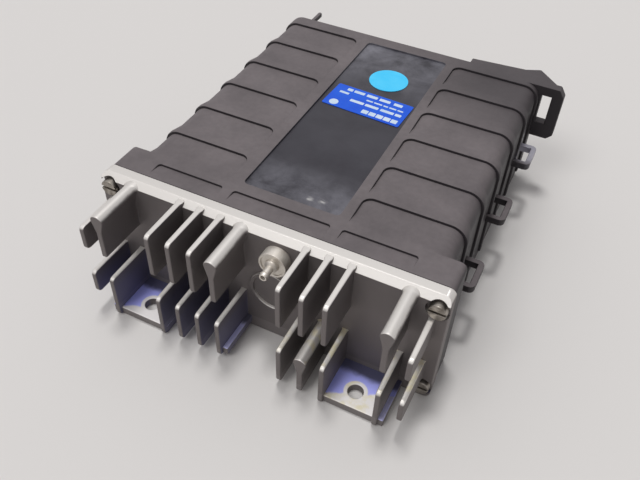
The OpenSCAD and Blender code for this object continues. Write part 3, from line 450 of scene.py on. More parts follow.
@dataclass(frozen=True)
class TurnedMetal(Finish):
    """Metal from the lathe: fine rings round its axis, under plating with a slight tarnish."""

    colour: str
    tarnish: str
    axis_mm: Triple
    ring_mm: float = 0.35
    roughness: float = 0.42
    tarnish_mm: float = 5.0

    def paint(self, tree: Tree, shader: Node, place: Socket) -> None:
        """Adds the rings and the tarnish.

        Args:
            tree: The material's nodes.
            shader: The surface shader among them.
            place: The point's place on the unit.
        """
        along = add_node(tree, "SeparateXYZ", links=place).outputs["Y"]
        flat = add_node(tree, "VectorMath", TIMES | {1: (1, 0, 1)}, place)
        radius = add_node(tree, "VectorMath", {"operation": "DISTANCE", 1: metres(self.axis_mm)}, flat)
        path = add_node(tree, "Math", {"operation": "ADD"}, {0: along, 1: radius})
        rings = add_node(tree, "TexNoise", {"noise_dimensions": "1D", "Scale": per_metre(self.ring_mm),
                                            "Detail": 2.0}, {"W": path})
        dull = add_node(tree, "TexNoise", {"Scale": per_metre(self.tarnish_mm), "Detail": 3.0}, place)
        spots = add_node(tree, "MapRange", {1: 0.45, 2: 0.8}, dull)
        tone = add_node(tree, "Mix", COLOURS | {6: linear(self.colour), 7: linear(self.tarnish)}, spots)
        rough = add_node(tree, "MapRange", {3: self.roughness, 4: self.roughness + 0.12}, spots)
        relief = add_node(tree, "Bump", {"Strength": 0.12, "Distance": 0.03 * MM}, {"Height": rings})
        # A dry film of dust lies on the plating, so that it shines less than bare metal.
        wire(tree, shader, {"Metallic": 0.65}, {"Base Color": tone, "Roughness": rough, "Normal": relief})


@dataclass(frozen=True)
class PrintedFilm(Finish):
    """Polyester label film: even colour under a clear face, slightly faded and finger-marked."""

    colour: str
    faded: str
    roughness: float = 0.2
    cloud_mm: float = 8.0

    def paint(self, tree: Tree, shader: Node, place: Socket) -> None:
        """Adds fading and finger marks.

        Args:
            tree: The material's nodes.
            shader: The surface shader among them.
            place: The point's place on the unit.
        """
        cloud = add_node(tree, "TexNoise", {"Scale": per_metre(self.cloud_mm), "Detail": 4.0}, place)
        fade = add_node(tree, "MapRange", {1: 0.3, 2: 0.75}, cloud)
        tone = add_node(tree, "Mix", COLOURS | {6: linear(self.colour), 7: linear(self.faded)}, fade)
        rough = add_node(tree, "MapRange", {3: self.roughness, 4: self.roughness + 0.1}, cloud)
        # A matt lacquer over the print takes off half of the film's own shine.
        wire(tree, shader, {"IOR": 1.57, "Specular IOR Level": 0.25},
             {"Base Color": tone, "Roughness": rough})


@dataclass(frozen=True)
class PlainMoulding(Finish):
    """Moulded, dipped or pressed plastic and rubber inside the case: one colour with a fine grain."""

    colour: str
    second: str
    roughness: float = 0.5
    cloud_mm: float = 5.0
    grain_mm: float = 0.4

    def paint(self, tree: Tree, shader: Node, place: Socket) -> None:
        """Adds a slight cloud of colour and a grain.

        Args:
            tree: The material's nodes.
            shader: The surface shader among them.
            place: The point's place on the unit.
        """
        cloud = add_node(tree, "TexNoise", {"Scale": per_metre(self.cloud_mm), "Detail": 4.0}, place)
        tone = add_node(tree, "Mix", COLOURS | {6: linear(self.colour), 7: linear(self.second)}, cloud)
        rough = add_node(tree, "MapRange", {3: self.roughness - 0.06, 4: self.roughness + 0.1}, cloud)
        grain = add_node(tree, "TexNoise", {"Scale": per_metre(self.grain_mm), "Detail": 2.0}, place)
        relief = add_node(tree, "Bump", {"Strength": 0.15, "Distance": 0.08 * MM}, {"Height": grain})
        wire(tree, shader, {}, {"Base Color": tone, "Roughness": rough, "Normal": relief})


@dataclass(frozen=True)
class TrackedLaminate(Finish):
    """Glass-epoxy circuit board under green solder resist, with copper tracks that show through it."""

    resist: str
    track: str
    track_mm: float = 2.54
    weave_mm: float = 0.8

    def paint(self, tree: Tree, shader: Node, place: Socket) -> None:
        """Adds the tracks.

        Args:
            tree: The material's nodes.
            shader: The surface shader among them.
            place: The point's place on the unit.
        """
        tracks = add_node(tree, "TexBrick", {
            "offset": 0.5, "Scale": per_metre(8 * self.track_mm), "Mortar Size": 0.012, "Row Height": 0.125,
            "Brick Width": 2.5, "Color1": linear(self.track), "Color2": linear(self.track),
            "Mortar": linear(self.resist)}, place)
        weave = add_node(tree, "TexNoise", {"Scale": per_metre(self.weave_mm), "Detail": 2.0}, place)
        relief = add_node(tree, "Bump", {"Strength": 0.15, "Distance": 0.05 * MM}, {"Height": weave})
        wire(tree, shader, {"Roughness": 0.38, "IOR": 1.55}, {"Base Color": tracks, "Normal": relief})


# A matt, warm black with a fine grain, grey where the dust lies.
HOUSING = DustyMoulding("polyamide_eroded_mould", "#2e2a2d", "#847c7d")
# A deeper black with a soft sheen, smeared with dust and rubbed pale in two spots whose pale cores are
# painted highlights.
RECESS = HandledRecess("polyamide_polished_mould", "#1f1c26", "#73727a", "#c9c7c4")
# Dull grey hollows, tops that are rubbed and painted bright as if lit from above, a blue film on feet that
# are rubbed bare in front, and the plate's painted shadow on the feet.
CASTING = CastSkin("aluminium_die_cast", "#7a7473", "#6f6d82", "#d8d4cf", "#e0d6ae", "#ece8e6", "#b0b4ff")
# A grey shine with fine marks and dull spots.
SCREW_STEEL = WorkedMetal("steel_zinc_plated", "#a9a39b", "#6d665d", 0.34)
# A pale, warm shine in fine rings.
PORT_METAL = TurnedMetal("brass_nickel_plated", "#e2dcd3", "#c4bcb0", (7.0, 0.0, 48.3))
# A strong, even blue with a soft gloss.
BLUE_FILM = PrintedFilm("polyester_film_blue", "#0050d6", "#0f62e2")
# A flat white, a little blue from what is under it.
WHITE_INK = PrintedFilm("screen_ink_white", "#d6e4f2", "#bcd2ea", 0.45)
# A bright, flat sky blue.
CYAN_FILM = PrintedFilm("vinyl_film_cyan", "#3cc9fc", "#58d4ff", 0.45)
# A plain black that is neither matt nor glossy.
SOCKET = PlainMoulding("polyester_glass_filled_moulded", "#1d1c1e", "#262527", 0.46, 14.0, 0.5)
INNER_FINISHES: dict[Finish, Sequence[str]] = {
    # Dead black and soft.
    PlainMoulding("nitrile_rubber_moulded", "#171717", "#1e1e1e", 0.66): ("flange_seal", "port_seal"),
    # Yellow metal with brown spots.
    WorkedMetal("brass_turned", "#c9a75a", "#8a6d36", 0.3): ("port_nut", "board_spacers"),
    # A dull, dark grey.
    PlainMoulding("silicone_rubber_extruded", "#242426", "#2d2d30", 0.6): ("pressure_hose",),
    # A pale cream with a slight gloss.
    PlainMoulding("polyester_ivory_moulded", "#d9d0ba", "#cec4ab", 0.42): ("pressure_sensor",),
    # Green lacquer with lighter green lines where the copper runs.
    TrackedLaminate("glass_epoxy_solder_resist", "#1c5a30", "#2a7440"): ("lower_board", "upper_board"),
    # The same as the plate's screws.
    SCREW_STEEL: ("board_screws", "clamp_screws"),
    # Plain black with a slight sheen.
    PlainMoulding("polyamide_black_moulded", "#19191b", "#222224", 0.48): (
        "bridge_header", "bridge_socket", "memory_socket"),
    # A white shine, drawn along the blades.
    WorkedMetal("brass_tin_plated", "#d3cdc0", "#a39a88", 0.3, (0.3, 4.0, 0.3)): ("plug_blades",),
    # A dry, even black.
    PlainMoulding("epoxy_transfer_moulded", "#1f1f21", "#28282a", 0.55): (
        "power_transistors", "microcontroller", "program_memory", "driver_chips"),
    # A chalky buff.
    PlainMoulding("silicone_glass_cloth_pressed", "#b9b2a0", "#a9a28f", 0.7, 3.0): ("insulating_pad",),
    # A cool grey shine, drawn along the bar.
    WorkedMetal("spring_steel_rolled", "#9fa2a6", "#77787b", 0.34, (6.0, 0.3, 0.3)): ("clamp_bar",),
    # A bright, smooth silver.
    WorkedMetal("steel_drawn_can", "#c6c7c9", "#9b9c9f", 0.24, (2.0, 2.0, 0.2)): ("crystal",),
    # A glossy blue-black.
    PlainMoulding("vinyl_shrunk_sleeve", "#1a2233", "#222b3e", 0.3): ("electrolytic_capacitors",),
    # A glossy brick red.
    PlainMoulding("epoxy_dipped", "#a8341f", "#93301e", 0.3, 3.0): ("film_capacitors",),
    # A dry grey-green.
    PlainMoulding("cement_coated", "#6f7d60", "#64705a", 0.75, 2.0): ("power_resistors",),
    # A glossy copper brown.
    PlainMoulding("copper_wire_lacquered", "#7a431c", "#6a3816", 0.28, 1.0): ("choke",),
}


def select_only(piece: Piece) -> None:
    """Makes one object the active one, and the only one selected.

    Args:
        piece: The object.
    """
    bpy.ops.object.select_all(action="DESELECT")
    piece.select_set(True)
    bpy.context.view_layer.objects.active = piece


def named(piece: Piece, name: str) -> Piece:
    """Names a piece and its mesh alike.

    Args:
        piece: The piece.
        name: Its name.

    Returns:
        The piece.
    """
    piece.name = name
    piece.data.name = name
    return piece


@contextmanager
def editing(piece: Piece, choose: Callable[[bpy.types.MeshPolygon], bool] | None = None) -> Iterator[None]:
    """Opens a piece in edit mode, with some of its faces selected.

    Args:
        piece: The piece.
        choose: Says of a face whether it is selected. Without it, all are.
    """
    select_only(piece)
    bpy.context.tool_settings.mesh_select_mode = (False, False, True)
    mesh = piece.data
    for items in (mesh.vertices, mesh.edges):
        items.foreach_set("select", [False] * len(items))
    mesh.polygons.foreach_set("select", [choose is None or choose(p) for p in mesh.polygons])
    bpy.ops.object.mode_set(mode="EDIT")
    yield
    bpy.ops.object.mode_set(mode="OBJECT")


@contextmanager
def editing_edges(piece: Piece, choose: Callable[[Vector, Vector], bool]) -> Iterator[None]:
    """Opens a piece in edit mode, with some of its edges selected.

    Args:
        piece: The piece.
        choose: Says of an edge, from its two ends in millimetres, whether it is selected.
    """
    with editing(piece, lambda face: False):
        bpy.ops.object.mode_set(mode="OBJECT")
        bpy.context.tool_settings.mesh_select_mode = (False, True, False)
        mesh = piece.data
        points = [v.co / MM for v in mesh.vertices]
        for edge in mesh.edges:
            edge.select = choose(*(points[i] for i in edge.vertices))
        bpy.ops.object.mode_set(mode="EDIT")
        yield


def draw_out(*shift_mm: float) -> None:
    """Draws the selected faces out by a shift."""
    bpy.ops.mesh.extrude_region_move(TRANSFORM_OT_translate={"value": metres(shift_mm)})


def round_off(width_mm: float, segments: int) -> None:
    """Rounds the selected edges."""
    bpy.ops.mesh.bevel(offset=width_mm * MM, segments=segments, affect="EDGES")


def apply_modifier(piece: Piece, kind: str, **settings: Any) -> None:
    """Adds a modifier to a piece and applies it.

    Args:
        piece: The piece.
        kind: Blender's name for the type of modifier.
        **settings: The modifier's own properties.
    """
    select_only(piece)
    modifier = piece.modifiers.new(kind.lower(), kind)
    for key, value in settings.items():
        setattr(modifier, key, value)
    bpy.ops.object.modifier_apply(modifier=modifier.name)


def outer_edges(mesh: bpy.types.Mesh, angle: float) -> list[float]:
    """Finds the edges that stick out.

    Args:
        mesh: A closed mesh.
        angle: Edges sharper than this count, in degrees.

    Returns:
        For each edge, 1 if it is sharp and convex, else 0.
    """
    sides: dict[tuple[int, int], list[tuple[Vector, int]]] = {}
    for face in mesh.polygons:
        corners = face.vertices
        for i, corner in enumerate(corners):
            pair = (corners[i - 1], corner)
            sides.setdefault((min(pair), max(pair)), []).append((face.normal, 1 if pair[0] < pair[1] else -1))
    weights = []
    for edge in mesh.edges:
        low, high = sorted(edge.vertices)
        faces = sides.get((low, high), [])
        weight = 0.0
        if len(faces) == 2:
            (first, turn), (second, _) = faces
            along = (mesh.vertices[high].co - mesh.vertices[low].co) * turn
            if first.angle(second, 0) > math.radians(angle) and first.cross(second).dot(along) > 0:
                weight = 1.0
        weights.append(weight)
    return weights


def soften(piece: Piece, width_mm: float, segments: int = 2, angle: float = SHARP) -> None:
    """Rounds a piece's outer edges and smooths what is round.

    Args:
        piece: The piece.
        width_mm: Width of the rounding.
        segments: Facets across the rounding.
        angle: Edges sharper than this are rounded, in degrees.
    """
    name = "bevel_weight_edge"
    chosen = piece.data.attributes.new(name, "FLOAT", "EDGE")
    chosen.data.foreach_set("value", outer_edges(piece.data, angle))
    apply_modifier(piece, "BEVEL", width=width_mm * MM, segments=segments, limit_method="WEIGHT",
                   use_clamp_overlap=False, loop_slide=False)
    piece.data.attributes.remove(piece.data.attributes[name])
    smooth(piece, angle)


def smooth(piece: Piece, angle: float = SHARP) -> None:
    """Shades a piece smooth, except across edges sharper than an angle in degrees."""
    select_only(piece)
    bpy.ops.object.shade_smooth_by_angle(angle=math.radians(angle))


def copy_of_solid(node: str, name: str) -> Piece:
    """Copies a solid's mesh as one closed surface with as few faces as its shape needs.

    Args:
        node: The solid's name.
        name: The copy's name.

    Returns:
        The copy.
    """
    select_only(frame["nodes"][node])
    bpy.ops.object.duplicate(linked=False)
    piece = named(bpy.context.active_object, name)
    bpy.ops.object.parent_clear(type="CLEAR_KEEP_TRANSFORM")
    del piece["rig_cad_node"]
    del piece["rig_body"]
    with editing(piece):
        bpy.ops.mesh.customdata_custom_splitnormals_clear()
        bpy.ops.mesh.remove_doubles(threshold=SAME_MM * MM)
        bpy.ops.mesh.dissolve_limited(angle_limit=math.radians(FLAT))
    return piece


def box(name: str, low_mm: Sequence[float], high_mm: Sequence[float]) -> Piece:
    """Adds a cube and stretches it between two corners.

    Args:
        name: The new object's name.
        low_mm: The corner with the lowest coordinates.
        high_mm: The corner with the highest.

    Returns:
        The box.
    """
    bpy.ops.object.select_all(action="DESELECT")
    bpy.ops.mesh.primitive_cube_add(size=1)
    piece = named(bpy.context.active_object, name)
    low, high = Vector(low_mm) * MM, Vector(high_mm) * MM
    with editing(piece):
        bpy.ops.transform.resize(value=high - low, center_override=(0, 0, 0))
        bpy.ops.transform.translate(value=(low + high) / 2)
    return piece


def rod(name: str, axis: Axis, radius_mm: float, low_mm: Sequence[float], length_mm: float,
        sides: int = 48) -> Piece:
    """Adds a cylinder along an axis.

    Args:
        name: The new object's name.
        axis: The direction that it lies in.
        radius_mm: Its radius.
        low_mm: The middle of its lower end.
        length_mm: Its length.
        sides: Facets round it.

    Returns:
        The cylinder.
    """
    bpy.ops.object.select_all(action="DESELECT")
    bpy.ops.mesh.primitive_cylinder_add(vertices=sides, radius=radius_mm * MM, depth=length_mm * MM)
    piece = named(bpy.context.active_object, name)
    middle = Vector(low_mm)
    middle[axis.value] += length_mm / 2
    with editing(piece):
        if axis is not Axis.Z:
            bpy.ops.transform.rotate(value=math.pi / 2, orient_axis="X" if axis is Axis.Y else "Y",
                                     center_override=(0, 0, 0))
        bpy.ops.transform.translate(value=middle * MM)
    return piece


def flare(piece: Piece, reach_mm: float,
          steps: Sequence[Pair] = ((0.45, 1.05), (0.35, 1.1), (0.2, 1.16), (2.0, 1.0))) -> None:
    """Draws the rear faces of a piece back into the plate and spreads them, as a cast fillet does.

    Args:
        piece: The piece, which stands out of the plate's middle towards the front.
        reach_mm: Length of the fillet.
        steps: Each step's share of that length and how far it spreads. The last one roots it in the plate.
    """
    with editing(piece, lambda face: face.normal.y > FACING):
        for share, spread in steps:
            draw_out(0, share * reach_mm, 0)
            bpy.ops.transform.resize(value=(spread, 1, 1), center_override=(0, 0, 0))


def cut(piece: Piece, tool: Piece) -> None:
    """Takes the shape of another object out of a piece, and the object out of the scene."""
    apply_modifier(piece, "BOOLEAN", operation="DIFFERENCE", object=tool, solver="EXACT")
    bpy.data.objects.remove(tool)


def copied(piece: Piece, name: str, shift_mm: Sequence[float], mirror: bool = False) -> Piece:
    """Copies a piece with its own mesh, and moves the mesh.

    Args:
        piece: The piece that was modelled.
        name: The copy's name.
        shift_mm: How far the copy is moved.
        mirror: Whether the copy is the other hand, mirrored across the unit's middle plane first.

    Returns:
        The copy.
    """
    select_only(piece)
    bpy.ops.object.duplicate(linked=False)
    twin = named(bpy.context.active_object, name)
    with editing(twin):
        if mirror:
            bpy.ops.transform.mirror(constraint_axis=(True, False, False), center_override=(0, 0, 0))
            bpy.ops.mesh.flip_normals()
        bpy.ops.transform.translate(value=Vector(shift_mm) * MM)
    return twin


def joined(name: str, pieces: Sequence[Piece]) -> Piece:
    """Joins pieces into one.

    Args:
        name: The joined piece's name.
        pieces: The pieces.

    Returns:
        The joined piece.
    """
    select_only(pieces[0])
    for piece in pieces[1:]:
        piece.select_set(True)
    bpy.ops.object.join()
    return named(bpy.context.active_object, name)


def fused(name: str, pieces: Sequence[Piece]) -> Piece:
    """Melts pieces that run into each other into one closed surface.

    Args:
        name: The new piece's name.
        pieces: The pieces.

    Returns:
        The new piece, with nothing of the pieces left inside it.
    """
    whole, added = pieces[0], joined("added", pieces[1:])
    apply_modifier(whole, "BOOLEAN", operation="UNION", object=added, solver="EXACT", use_self=True)
    bpy.data.objects.remove(added)
    with editing(named(whole, name)):
        bpy.ops.mesh.remove_doubles(threshold=SAME_MM * MM)
        bpy.ops.mesh.dissolve_degenerate(threshold=SAME_MM * MM)
    smooth(whole, CAST_SHARP)
    return whole


def dress(piece: Piece, *finishes: Finish) -> None:
    """Gives a piece its finishes.

    Args:
        piece: The piece.
        *finishes: The finishes, one to a material slot.
    """
    piece.data.materials.clear()
    for finish in finishes:
        piece.data.materials.append(finish.material())


def seat(piece: Piece, slot: str, *nodes: str) -> None:
    """Joins a finished piece to the unit, its flat faces shaded flat beside their rounded edges.

    Args:
        piece: The piece.
        slot: The record's material slot. It is not used.
        *nodes: The solids that it stands for.
    """
    apply_modifier(piece, "WEIGHTED_NORMAL", keep_sharp=True)
    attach(piece, "root")
    if nodes:
        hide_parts(*nodes)
    LOG.info("%s: %d faces", piece.name, len(piece.data.polygons))


def dress_copy(node: str, name: str, slot: str, edge_mm: float, finish: Finish) -> None:
    """Makes a piece of a solid's own shape with soft edges, and joins it to the unit.

    Args:
        node: The solid's name.
        name: The piece's name.
        slot: The record's material slot, handed on to seat.
        edge_mm: Width of the rounding on its edges.
        finish: Its finish.
    """
    piece = copy_of_solid(node, name)
    dress(piece, finish)
    soften(piece, edge_mm)
    seat(piece, slot, node)


@dataclass
class Housing:
    """The ribbed case with its label recess."""

    edge_mm: float = 0.5
    recess_x_mm: Pair = (-20.65, 21.85)
    recess_y_mm: Pair = (35.0, 163.5)
    recess_floor_mm: float = 57.6
    near_mm: float = 0.1

    def in_recess(self, face: bpy.types.MeshPolygon) -> bool:
        """Finds the recess's floor and walls.

        Args:
            face: A face of the case.

        Returns:
            Whether the face is one of them.
        """
        x, y, z = face.center / MM
        within = all(low - self.near_mm < value < high + self.near_mm
                     for value, (low, high) in ((x, self.recess_x_mm), (y, self.recess_y_mm)))
        above = z - self.recess_floor_mm
        return within and above > -self.near_mm and (above < self.near_mm or face.normal.z < 0.5)

    def build(self) -> None:
        """Makes the case with soft edges and a smooth recess."""
        shell = copy_of_solid("housing", "housing_shell")
        dress(shell, HOUSING, RECESS)
        for face in shell.data.polygons:
            face.material_index = int(self.in_recess(face))
        soften(shell, self.edge_mm)
        seat(shell, "housing_plastic", "housing")


@dataclass
class EndPlate:
    """The cast plate with its fins, posts and feet, and the screws that hold it."""

    half_w_mm: float = 75.0
    height_mm: float = 58.5
    front_mm: float = 13.0
    back_mm: float = 20.0
    corner_mm: float = 3.0
    edge_mm: float = 0.5
    slope_mm: float = 2.6
    slope_edge_mm: float = 0.3
    root_mm: float = 0.5
    nose_mm: float = -9.0
    foot_nose_mm: float = -7.5
    fin_t_mm: float = 2.4
    fin_h_mm: float = 20.0
    upper_fin_h_mm: float = 21.8
    fin_corner_mm: float = 2.0
    fin_nose_share: float = 0.86
    fin_edge_mm: float = 0.45
    flare_mm: float = 1.3
    pitch_mm: float = 9.25
    upper_z_mm: float = 36.1
    lower_z_mm: float = 2.4
    upper_thin: Sequence[int] = (-4, -3, -2, 2, 3, 4)
    lower_thin: Sequence[int] = (-3, -2, -1, 2)
    upper_posts: Sequence[float] = (-6.5, -1, 6.5)
    lower_posts: Sequence[float] = (3,)
    outer_x_mm: float = 69.375
    outer_h_mm: float = 12.1
    outer_z_mm: Pair = (10.3, 36.1)
    post_w_mm: float = 5.6
    post_neck_mm: float = 6.0
    # The head's two roundings stop a whisker short of each other, and what is left is merged.
    round_share: float = 0.999
    merge_mm: float = 0.02
    sliver_mm: float = 0.01
    foot_walls_mm: Pair = (37.0, 60.125)
    foot_wall_h_mm: float = 22.4
    foot_t_mm: float = 4.0
    foot_edge_mm: float = 0.4
    foot_hole_mm: Triple = (48.5625, 0.0, 3.25)
    toe_mm: float = 2.0
    toe_setback_mm: float = 0.4
    pad_mm: Triple = (4.625, 27.25, 10.5)
    pad_rim_mm: Pair = (1.6, 1.2)
    pad_floor_mm: float = 0.1
    pad_draft: float = 0.97
    pad_edge_mm: float = 0.4
    screw_x_mm: float = 70.8
    screw_z_mm: Pair = (6.2, 52.3)
    screw_edge_mm: float = 0.35
    spot_mm: Pair = (4.8, 1.8)
    bracket_mm: Triple = (45.0, 9.0, 12.0)
    bracket_z_mm: Pair = (7.0, 14.0)
    bracket_edge_mm: float = 0.3
    bracket_hole_mm: Triple = (1.6, 7.0, 5.5)
    # How far a cutting tool stands out of what it cuts.
    spare_mm: float = 2.0

    def build(self) -> None:
        """Models the casting and makes its screws."""
        shapes = [self.plate(), self.pad(), *self.fins(), *self.posts(), *self.feet(), *self.brackets()]
        casting = fused("finned_plate", shapes)
        dress(casting, CASTING)
        seat(casting, "cast_aluminium", "heat_sink")
        dress_copy("flange_screws", "plate_screws", "screw_steel", self.screw_edge_mm, SCREW_STEEL)

    def plate(self) -> Piece:
        """Models the plate with round corners, a sloped top edge and spot faces under its screws.

        Returns:
            The plate, with nothing on it yet.
        """
        slab = box("plate", (-self.half_w_mm, self.front_mm, 0),
                   (self.half_w_mm, self.back_mm, self.height_mm))
        with editing_edges(slab, lambda a, b: abs(a.y - b.y) > 1):
            round_off(self.corner_mm, 8)
        soften(slab, self.edge_mm, 3)
        cut(slab, self.slope())
        with editing_edges(slab, lambda a, b: abs(a.x - b.x) > self.half_w_mm and self.on_slope(a)):
            round_off(self.slope_edge_mm, 3)
        radius, depth = self.spot_mm
        y = self.front_mm - self.spare_mm
        for side in (-1, 1):
            for z in self.screw_z_mm:
                cut(slab, rod("spot", Axis.Y, radius, (side * self.screw_x_mm, y, z), depth + self.spare_mm))
        smooth(slab)
        return slab

    def on_slope(self, point: Vector) -> bool:
        """Says whether a point, in millimetres, lies on the slope along the plate's top front edge."""
        return abs(point.z - point.y - (self.height_mm - self.slope_mm - self.front_mm)) < 0.01

    def slope(self) -> Piece:
        """Makes the bar that cuts the slope along the plate's top front edge: a box turned onto its edge.

        Returns:
            The bar.
        """
        half = self.slope_mm
        away = half / math.sqrt(2) - half / 2
        y, z = self.front_mm - away, self.height_mm + away
        reach = self.half_w_mm + self.spare_mm / 2
        bar = box("slope", (-reach, y - half, z - half), (reach, y + half, z + half))
        with editing(bar):
            bpy.ops.transform.rotate(value=math.radians(45), orient_axis="X",
                                     center_override=metres((0, y, z)))
        return bar

    def pad(self) -> Piece:
        """Models the round pad with its raised rim below the port.

        Returns:
            The pad.
        """
        x, z, radius = self.pad_mm
        rim, rise = self.pad_rim_mm
        disc = rod("pad", Axis.Y, radius, (x, self.front_mm - rise, z), rise + 1, ROUND)
        with editing(disc, lambda face: face.normal.y < -FACING):
            bpy.ops.mesh.inset(thickness=rim * MM)
            draw_out(0, rise - self.pad_floor_mm, 0)
            bpy.ops.transform.resize(value=(self.pad_draft, 1, self.pad_draft),
                                     center_override=metres((x, 0, z)))
        soften(disc, self.pad_edge_mm, 3)
        return disc

    def blade(self, name: str, height_mm: float) -> Piece:
        """Models a thin fin at the middle of the plate, from the table up.

        Args:
            name: The fin's name.
            height_mm: Its height.

        Returns:
            The fin: drafted towards its round nose, with a fillet at its root.
        """
        half = self.fin_t_mm / 2
        fin = box(name, (-half, self.nose_mm, 0), (half, self.front_mm - self.flare_mm, height_mm))
        with editing(fin, lambda face: face.normal.y < -FACING):
            bpy.ops.transform.resize(value=(self.fin_nose_share, 1, 1), center_override=(0, 0, 0))
        with editing_edges(fin, lambda a, b: abs(a.x - b.x) > 1 and a.y < self.nose_mm + 1):
            round_off(self.fin_corner_mm, 5)
        flare(fin, self.flare_mm)
        soften(fin, self.fin_edge_mm, 3, CAST_SHARP)
        return fin

    def row(self, model: Piece, name: str, steps: Sequence[float], z_mm: float) -> list[Piece]:
        """Copies a fin or post to its places along a row.

        Args:
            model: The fin or post that was modelled.
            name: The copies' name.
            steps: Their places, counted in the row's pitch from the middle.
            z_mm: The row's lower end.

        Returns:
            The copies. The model is taken out of the scene.
        """
        copies = [copied(model, name, (step * self.pitch_mm, 0, z_mm)) for step in steps]
        bpy.data.objects.remove(model)
        return copies

    def fins(self) -> list[Piece]:
        """Models one fin of each height and copies it along the rows.

        Returns:
            All the fins, and the toe beside one of them.
        """
        tall = self.blade("upper_fin", self.upper_fin_h_mm)
        low = self.blade("lower_fin", self.fin_h_mm)
        short = self.blade("outer_fin", self.outer_h_mm)
        rows = self.row(tall, "fin_upper", self.upper_thin, self.upper_z_mm)
        rows += self.row(low, "fin_lower", self.lower_thin, self.lower_z_mm)
        rows += [copied(short, "fin_outer", (side * self.outer_x_mm, 0, z))
                 for side in (-1, 1) for z in self.outer_z_mm]
        bpy.data.objects.remove(short)
        x = -self.pitch_mm
        toe = box("bay_toe", (x, self.foot_nose_mm + self.toe_setback_mm, self.lower_z_mm),
                  (x + self.fin_t_mm / 2 + self.toe_mm, self.front_mm + self.root_mm,
                   self.lower_z_mm + self.foot_t_mm))
        soften(toe, self.edge_mm, 3)
        return [*rows, toe]

    def post(self, height_mm: float) -> Piece:
        """Models a post at the middle of the plate, from the table up.

        Args:
            height_mm: Its height.

        Returns:
            The post: a fin with a thick round head.
        """
        stem, head = self.fin_t_mm / 2, self.post_w_mm / 2
        neck_z = height_mm - head - self.post_neck_mm
        post = box("post", (-stem, self.nose_mm, 0), (stem, self.front_mm - self.flare_mm, neck_z))
        with editing(post, lambda face: face.normal.z > FACING):
            draw_out(0, 0, self.post_neck_mm)
            bpy.ops.transform.resize(value=(head / stem, 1, 1), center_override=(0, 0, 0))
            draw_out(0, 0, head)
        with editing_edges(post, lambda a, b: abs(a.y - b.y) > 1 and a.z > height_mm - 0.1):
            round_off(self.round_share * head, 8)
            bpy.ops.mesh.select_all(action="SELECT")
            bpy.ops.mesh.remove_doubles(threshold=self.merge_mm * MM)
            bpy.ops.mesh.dissolve_degenerate(threshold=self.sliver_mm * MM)
        flare(post, self.flare_mm)
        soften(post, self.edge_mm, 3, CAST_SHARP)
        return post

    def posts(self) -> list[Piece]:
        """Models one post of each height and copies it along the rows."""
        upper = self.row(self.post(self.upper_fin_h_mm), "post_upper", self.upper_posts, self.upper_z_mm)
        return upper + self.row(self.post(self.fin_h_mm), "post_lower", self.lower_posts, self.lower_z_mm)

    def feet(self) -> list[Piece]:
        """Models the right foot, a drilled plate between two walls, and mirrors it.

        Returns:
            The parts of both feet.
        """
        inner, outer = self.foot_walls_mm
        half = self.fin_t_mm / 2
        sole = box("foot_plate", (inner - half, self.foot_nose_mm, 0),
                   (outer + half + self.toe_mm, self.front_mm + self.root_mm, self.foot_t_mm))
        x, y, radius = self.foot_hole_mm
        below = -self.spare_mm / 2
        cut(sole, rod("bolt_hole", Axis.Z, radius, (x, y, below), self.foot_t_mm + self.spare_mm))
        soften(sole, self.foot_edge_mm, 3)
        wall = self.blade("foot_wall", self.foot_wall_h_mm)
        foot = [sole, copied(wall, "foot_wall_inner", (inner, 0, 0)),
                copied(wall, "foot_wall_outer", (outer, 0, 0))]
        bpy.data.objects.remove(wall)
        return foot + [copied(part, f"{part.name}_left", (0, 0, 0), mirror=True) for part in foot]

    def brackets(self) -> list[Piece]:
        """Models the bracket behind the plate, to which the lower board is screwed, and mirrors it.

        Returns:
            Both brackets.
        """
        x, width, length = self.bracket_mm
        low, high = self.bracket_z_mm
        arm = box("board_bracket", (x - width / 2, self.back_mm - self.root_mm, low),
                  (x + width / 2, self.back_mm + length, high))
        radius, behind, depth = self.bracket_hole_mm
        y = self.back_mm + behind
        cut(arm, rod("board_hole", Axis.Z, radius, (x, y, high - depth), depth + 1.5))
        soften(arm, self.bracket_edge_mm)
        return [arm, copied(arm, "board_bracket_left", (0, 0, 0), mirror=True)]


